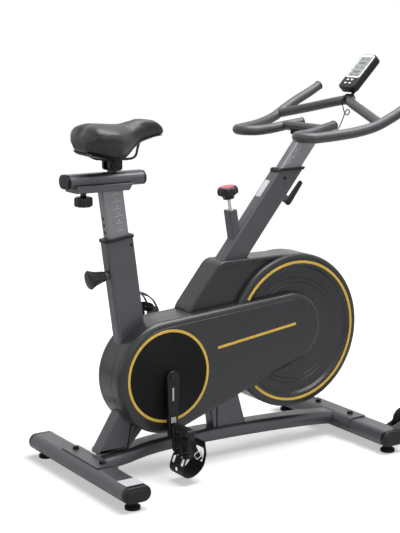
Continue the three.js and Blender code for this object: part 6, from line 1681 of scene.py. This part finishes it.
@dataclass
class HandlebarEnd:
    """The handlebar post with its marks and mount, the looped bars, the brace and the clamp lever."""

    post_depth: float = 61.0
    post_width: float = 36.0
    post_top: float = 966.0
    mount: tuple[float, float, float] = (504.0, 580.0, 58.0)
    brace: tuple[float, float] = (531.0, 988.0)
    brace_half: float = 90.0
    bar: float = 14.5
    padding: float = 0.07
    loop_centre: tuple[float, float, float] = (452.0, 154.0, 974.0)
    loop_radius: float = 46.0
    stub: tuple = ((590, 78, 996),)
    inner_leg: tuple = ((540, 90, 988), (490, 102, 979), (448, 107, 975))
    outer_leg: tuple = ((456, 201, 976), (505, 214, 981), (560, 232, 990), (610, 248, 1004))
    horn: tuple = ((655, 258, 1025), (707, 262, 1051), (760, 262, 1076), (797, 262, 1096))
    crossbar: tuple = ((626, 250, 1011), (660, 140, 1035), (692, 34, 1059), (712, 0, 1066))

    def post(self) -> None:
        """The post, cut level under the mount, the mount block with its bolts, and the marks."""
        section = tidy(box_section(self.post_depth, self.post_width, 8))
        lean = math.radians(HEAD.tilt)
        low = HEAD.out(np.column_stack([section, np.full(len(section), -20.0)]))
        top = (self.post_top - HEAD.z + section[:, 0] * math.sin(lean)) / math.cos(lean)
        stem = grid(np.stack([low, HEAD.out(np.column_stack([section, top]))]))
        make("handlebar_post_stem", stem, POST, "handlebar_set", ["handlebar_post"])
        rear, front, width = self.mount
        outline = box_section(front - rear, width, 6, 4) + [(rear + front) / 2, 0]
        block = slab(outline, edged(self.post_top, self.post_top + 20, 2, 3), Plane.FLAT)
        bed = rod((self.brace[0], -40, self.brace[1]), (self.brace[0], 40, self.brace[1]), self.bar + 0.3, 64)
        make("handlebar_mount", block, BLACK_METAL, "handlebar_set", cuts=[bed])
        forms = []
        for y in (-15.0, 15.0):
            forms.append(hexagon(11, 4, (rear + 58, y, self.post_top + 20), (0, 0, 1)))
            forms.append(washer(8.5, 4, 1.2, (rear + 58, y, self.post_top + 19.9), (0, 0, 1)))
        forms.append(hexagon(9, 3, (rear + 50, -width / 2, self.post_top + 10), (0, -1, 0)))
        make("handlebar_mount_bolts", joined(*forms), BLACK_METAL, "handlebar_set")
        signs = []
        for i in range(5):
            along = 172.0 + 20.7 * i
            digit = numeral(str(5 - i), 6.0)
            place = np.column_stack([digit.points[:, 0] - 15, -18.05 - digit.points[:, 2],
                                     digit.points[:, 1] + along + 6])
            signs.append(Form(HEAD.out(place), digit.faces, digit.wear))
            line = box_section(12, 1.2, 0.4, 2) + [-15.4, along]
            signs.append(slab(line, [(0, -18.0), (0, -18.2)], Plane.SIDE, HEAD))
        signs.append(slab(box_section(0.9, 100, 0.3, 2) + [-21.4, 214], [(0, -18.0), (0, -18.18)], Plane.SIDE, HEAD))
        make("handlebar_post_marks", joined(*signs), INK, "handlebar_set")

    def side_path(self, side: int) -> np.ndarray:
        """The line of one side bar: stub, inner leg, half loop at the rear, outer leg and horn."""
        turn = np.radians(np.arange(-60, 61, 30))
        x, y, z = self.loop_centre
        loop = np.column_stack([x - self.loop_radius * np.cos(turn), y + self.loop_radius * np.sin(turn),
                                np.full(len(turn), z)])
        points = np.concatenate([self.stub, self.inner_leg, loop, self.outer_leg, self.horn])
        return smooth_path(points * [1, side, 1], 8)

    def bars(self) -> None:
        """The welded handlebar, whose loops and horns swell a little as if padded, and its black plugs."""
        section = circle(self.bar, 32)
        cross = np.array(self.crossbar, float)
        cross = np.concatenate([cross, (cross[:-1] * [1, -1, 1])[::-1]])
        count = len(self.side_path(1))
        from_end = np.minimum(np.arange(count), count - 1 - np.arange(count))
        padded = 1 + self.padding * np.clip(from_end / 12 - 0.3, 0, 1)
        forms = [sweep(section, self.side_path(1), scale=padded), sweep(section, self.side_path(-1), scale=padded),
                 sweep(section, smooth_path(cross, 12)),
                 rod((self.brace[0], -self.brace_half, self.brace[1]),
                     (self.brace[0], self.brace_half, self.brace[1]), self.bar, 32)]
        make("handlebar_tubes", joined(*forms), BAR_COAT, "handlebar_set", ["handlebar"])
        plugs = []
        for side in (-1, 1):
            line = self.side_path(side)
            for end, before in ((line[0], line[2]), (line[-1], line[-3])):
                way = (end - before) / np.linalg.norm(end - before)
                plugs.append(turned([(0, -1), (14.9, -1), (15.2, 0), (15.2, 2.2), (14, 4.2), (9, 5.2), (0, 5.4)],
                                    end - way * 1.2, way, 48))
        make("handlebar_plugs", joined(*plugs), BLACK, "handlebar_set")

    def lever(self) -> None:
        """The clamp lever: hub, washer and a handle that points up the tube, hollowed along its face."""
        centre = HEAD.out(np.array([53.8, 0, 84.0]))
        away = HEAD.direction(1, 0, 0)
        hub = turned([(0, 0), (10.4, 0), (11, 0.8), (11, 18.6), (9.6, 20), (0, 20)], centre, away, 48)
        outline = wrap((0, 0), 11, (0, 70), 7, 20) + [0, 84.0]
        handle = slab(outline, edged(62.8, 73.8, 2.5, 4), Plane.END, HEAD)
        slot = slab(wrap((0, 14), 3.4, (0, 56), 2.6, 10) + [0, 84.0], [(0, 71.6), (-0.8, 74.5)], Plane.END, HEAD)
        make("post_lever_handle", handle, KNOB, "post_lever", ["clamp_lever"], joins=[hub], cuts=[slot])
        bolt = joined(washer(7, 3.4, 1.0, HEAD.out(np.array([73.8, 0, 84.0])), away),
                      turned([(0, 0), (4.6, 0), (4.6, 2.4), (3.8, 3), (2.2, 3), (2.0, 1), (0, 1)],
                             HEAD.out(np.array([74.6, 0, 84.0])), away, 24))
        make("post_lever_bolt", bolt, STEEL, "post_lever")

    def build(self) -> None:
        """Builds the handlebar end."""
        self.post()
        self.bars()
        self.lever()


@dataclass
class Console:
    """The console with its pale bezel, display and buttons, on its clip and stalk."""

    length: float = 140.0
    width: float = 74.0
    low: float = -22.0
    back: float = -9.0
    thickness: float = 27.0
    corner: float = 14.0
    apex: tuple[float, float, float] = (712.0, 0.0, 1066.0)

    def outline(self) -> np.ndarray:
        """The console's face outline in its own axes."""
        return box_section(self.width, self.length, self.corner, 8) + [0, self.low + self.length / 2]

    def housing(self) -> None:
        """The black case with the lugs at its back and the parting line round its side."""
        front = self.back - self.thickness
        turn = np.linspace(0, np.pi / 2, 6)
        rear = [(6 * (1 - math.cos(t)), self.back - 6 * (1 - math.sin(t)), 0.4) for t in turn][::-1]
        edge = [(3 * (1 - math.cos(t)), front + 0.4 + 3 * (1 - math.sin(t)), 0.6) for t in turn]
        layers = [(10, self.back, 0), *rear, (0, self.back - 11, 0), (0.6, self.back - 11.3, 0),
                  (0.6, self.back - 12, 0), (0, self.back - 12.3, 0), *edge, (5, front + 0.4, 0)]
        case = slab(self.outline(), layers, Plane.END, CONSOLE)
        lugs = []
        for side in (-1, 1):
            low, high = sorted((side * 5.5, side * 10.5))
            lugs.append(turned([(0, low), (7, low), (7, high), (0, high)], CONSOLE.out(np.zeros(3)), (0, 1, 0), 40))
            lugs.append(slab(box_section(14, 9, 0.5, 2) + [0, -4.6], edged(low, high, 0.4, 2), Plane.SIDE,
                             Axes(CONSOLE.x, CONSOLE.z, CONSOLE.tilt + 90)))
        bolt = rod((CONSOLE.x, -11.5, CONSOLE.z), (CONSOLE.x, 11.5, CONSOLE.z), 2.5, 24)
        pockets = [slab(box_section(9.6, 6.6, 1, 2) + place, [(0, front - 2), (0, front + 5)], Plane.END, CONSOLE)
                   for place in self.button_places()]
        make("console_case", joined(case, *lugs, bolt), BLACK, "console_set", ["console"], cuts=pockets)

    def button_places(self) -> list[tuple[float, float]]:
        """The middles of the four buttons on the face: two rows of two."""
        return [(side * 10.0, z) for z in (-5.0, 9.0) for side in (-1, 1)]

    def face(self) -> None:
        """The pale bezel as a flat ring round the display, the display and its frame."""
        front = self.back - self.thickness
        outer = tidy(rounded([(-33, 19), (33, 19), (33, 114), (-33, 114)], [6, 6, 11, 11], 8))
        window = tidy(rounded([(-27.5, 25), (27.5, 25), (27.5, 106), (-27.5, 106)], 5, 8))
        rows = []
        for line, depth in ((outer, front + 0.4), (inset(outer, 0.2), front - 0.1), (inset(outer, 0.8), front - 0.4),
                            (inset(window, -0.8), front - 0.4), (inset(window, -0.2), front - 0.1),
                            (window, front + 0.4)):
            rows.append(self.even(line, depth))
        make("console_bezel", grid(CONSOLE.out(np.stack(rows)), loop=True), WHITE, "console_set")
        glass = slab(inset(window, 0.3), edged(front + 0.4, front - 0.1, 0.15, 2, 1), Plane.END, CONSOLE)
        make("console_display", glass, SCREEN, "console_set")
        bars = []
        for row, (z, widths) in enumerate(((96, (16, 16)), (80, (30,)), (62, (16, 16)), (44, (30,)), (31, (16, 16)))):
            for i, width in enumerate(widths):
                y = (i - (len(widths) - 1) / 2) * 24
                height = 9 if row in (1, 3) else 5
                bars.append(slab(box_section(width, height, 0.8, 2) + [y, z], [(0, front - 0.1), (0, front - 0.16)],
                                 Plane.END, CONSOLE))
        make("console_segments", joined(*bars), SEGMENTS, "console_set")

    def even(self, line: np.ndarray, depth: float, count: int = 96) -> np.ndarray:
        """A closed line resampled at equal angles about the display's middle, at one depth.

        Args:
            line: The closed line in the face's axes.
            depth: Its depth.
            count: How many points it gets.

        Returns:
            The points, (count, 3).
        """
        middle = np.array([0.0, 66.0])
        offset = line - middle
        angle = np.arctan2(offset[:, 1], offset[:, 0])
        order = np.argsort(angle)
        target = np.linspace(-np.pi, np.pi, count, endpoint=False)
        y = np.interp(target, angle[order], offset[order, 0], period=2 * np.pi)
        z = np.interp(target, angle[order], offset[order, 1], period=2 * np.pi)
        return np.column_stack([np.full(count, depth), y, z + middle[1]])

    def buttons(self) -> None:
        """Four white buttons with eased edges, each on its own body."""
        front = self.back - self.thickness
        for number, place in enumerate(self.button_places()):
            cap = slab(box_section(9, 6, 1.4, 3) + place, edged(front + 3.0, front - 2.0, 0.8, 3, 0.6), Plane.END,
                       CONSOLE)
            make(f"console_button_{number + 1}_cap", cap, WHITE, f"button_{number + 1}",
                 [f"console_button_{number + 1}"])

    def clip(self) -> None:
        """The clip round the crossbar, its stalk and tongue, and the wire's grommet."""
        x, _, z = self.apex
        ring = turned([(14.8, -10), (17.2, -10), (17.8, -9.4), (17.8, 9.4), (17.2, 10), (14.8, 10)], (x, 0, z),
                      (0, 1, 0), 64, loop=True)
        stalk = sweep(circle(5, 24), smooth_path([(721, 0, 1079), (727, 0, 1084.8), (733, 0, 1093)], 10), (0, 1, 0))
        tongue = turned([(0, -5), (6, -5), (6, 5), (0, 5)], (CONSOLE.x, 0, CONSOLE.z), (0, 1, 0), 32)
        make("console_clip_moulding", joined(ring, stalk, tongue), BLACK, "handlebar_set", ["console_clip"])
        profile = [(0, 0), (4.2, 0), (4.2, 1.2), (3.2, 1.8), (2.6, 5.7), (2.2, 6.1), (1.7, 6.1), (1.7, 3), (0, 3)]
        grommet = turned(profile, (697.4, 0, 1071), (-1, 0, 0), 32)
        make("sensor_wire_grommet", grommet, RUBBER, "handlebar_set")

    def build(self) -> None:
        """Builds the console."""
        self.housing()
        self.face()
        self.buttons()
        self.clip()


@dataclass
class Brake:
    """The brake's housing, its rod and the mushroom knob with the red cap."""

    housing: tuple[float, float] = (28.0, 38.0)
    knob_low: float = 38.0

    def build(self) -> None:
        """Builds the brake."""
        width, depth = self.housing
        outline = box_section(width, depth, 6, 5)
        block = slab(outline, [(0, -84, 0), (0, 2.4, 0), (0.6, 3.6, 1), (1.8, 4, 0.3), (4, 4, 0)], Plane.FLAT, BRAKE)
        away = BRAKE.direction(0, 0, 1)
        bore = turned([(0, -200), (5.5, -200), (5.5, 40), (0, 40)], BRAKE.out(np.zeros(3)), away, 32)
        make("brake_housing_block", block, PAINT, "frame", ["brake_housing"], cuts=[bore])
        trim = washer(10.5, 5.6, 1.0, BRAKE.out(np.array([0, 0, 4.0])), away)
        make("brake_housing_washer", trim, STEEL, "frame")
        dress(STEEL, "brake_rod")
        low = self.knob_low
        profile = [(0, low), (15.6, low), (17, low + 1.2), (17.6, low + 5), (20.4, low + 9.6), (26, low + 12.2),
                   (30.4, low + 14.8), (32, low + 18.4), (32, low + 27), (31, low + 31), (28.2, low + 34.6),
                   (24.6, low + 36.8), (22.4, low + 37.2), (21.8, low + 36.6), (0, low + 36.6)]
        knob = turned(profile, BRAKE.out(np.zeros(3)), away, 144, flutes=9, depth=3.2, fluted=(low + 12, low + 32))
        make("brake_knob_grip", knob, KNOB, "brake_dial", ["brake_knob"], cuts=[
            turned([(0, low - 5), (5.3, low - 5), (5.3, 50.3), (0, 50.3)], BRAKE.out(np.zeros(3)), away, 32)])
        cap = turned([(0, low + 36.8), (21.2, low + 36.8), (21.2, low + 37.6), (20, low + 38.4), (12, low + 38.9),
                      (0, low + 39)], BRAKE.out(np.zeros(3)), away, 72)
        make("brake_knob_cap", cap, RED, "brake_dial")


def main() -> None:
    """Builds the studio and every sub-assembly in order."""
    logging.basicConfig(level=logging.INFO, format="%(name)s: %(message)s")
    bpy.context.scene.view_settings.view_transform = "Standard"
    parts = (Studio(), ConsoleWire(), Base(), FrameTubes(), Covers(), Cranks(), DriveInside(), SeatEnd(), Saddle(),
             HandlebarEnd(), Console(), Brake())
    for part in parts:
        part.build()
        LOG.info("%s built", type(part).__name__)


if __name__ == "__main__":
    main()
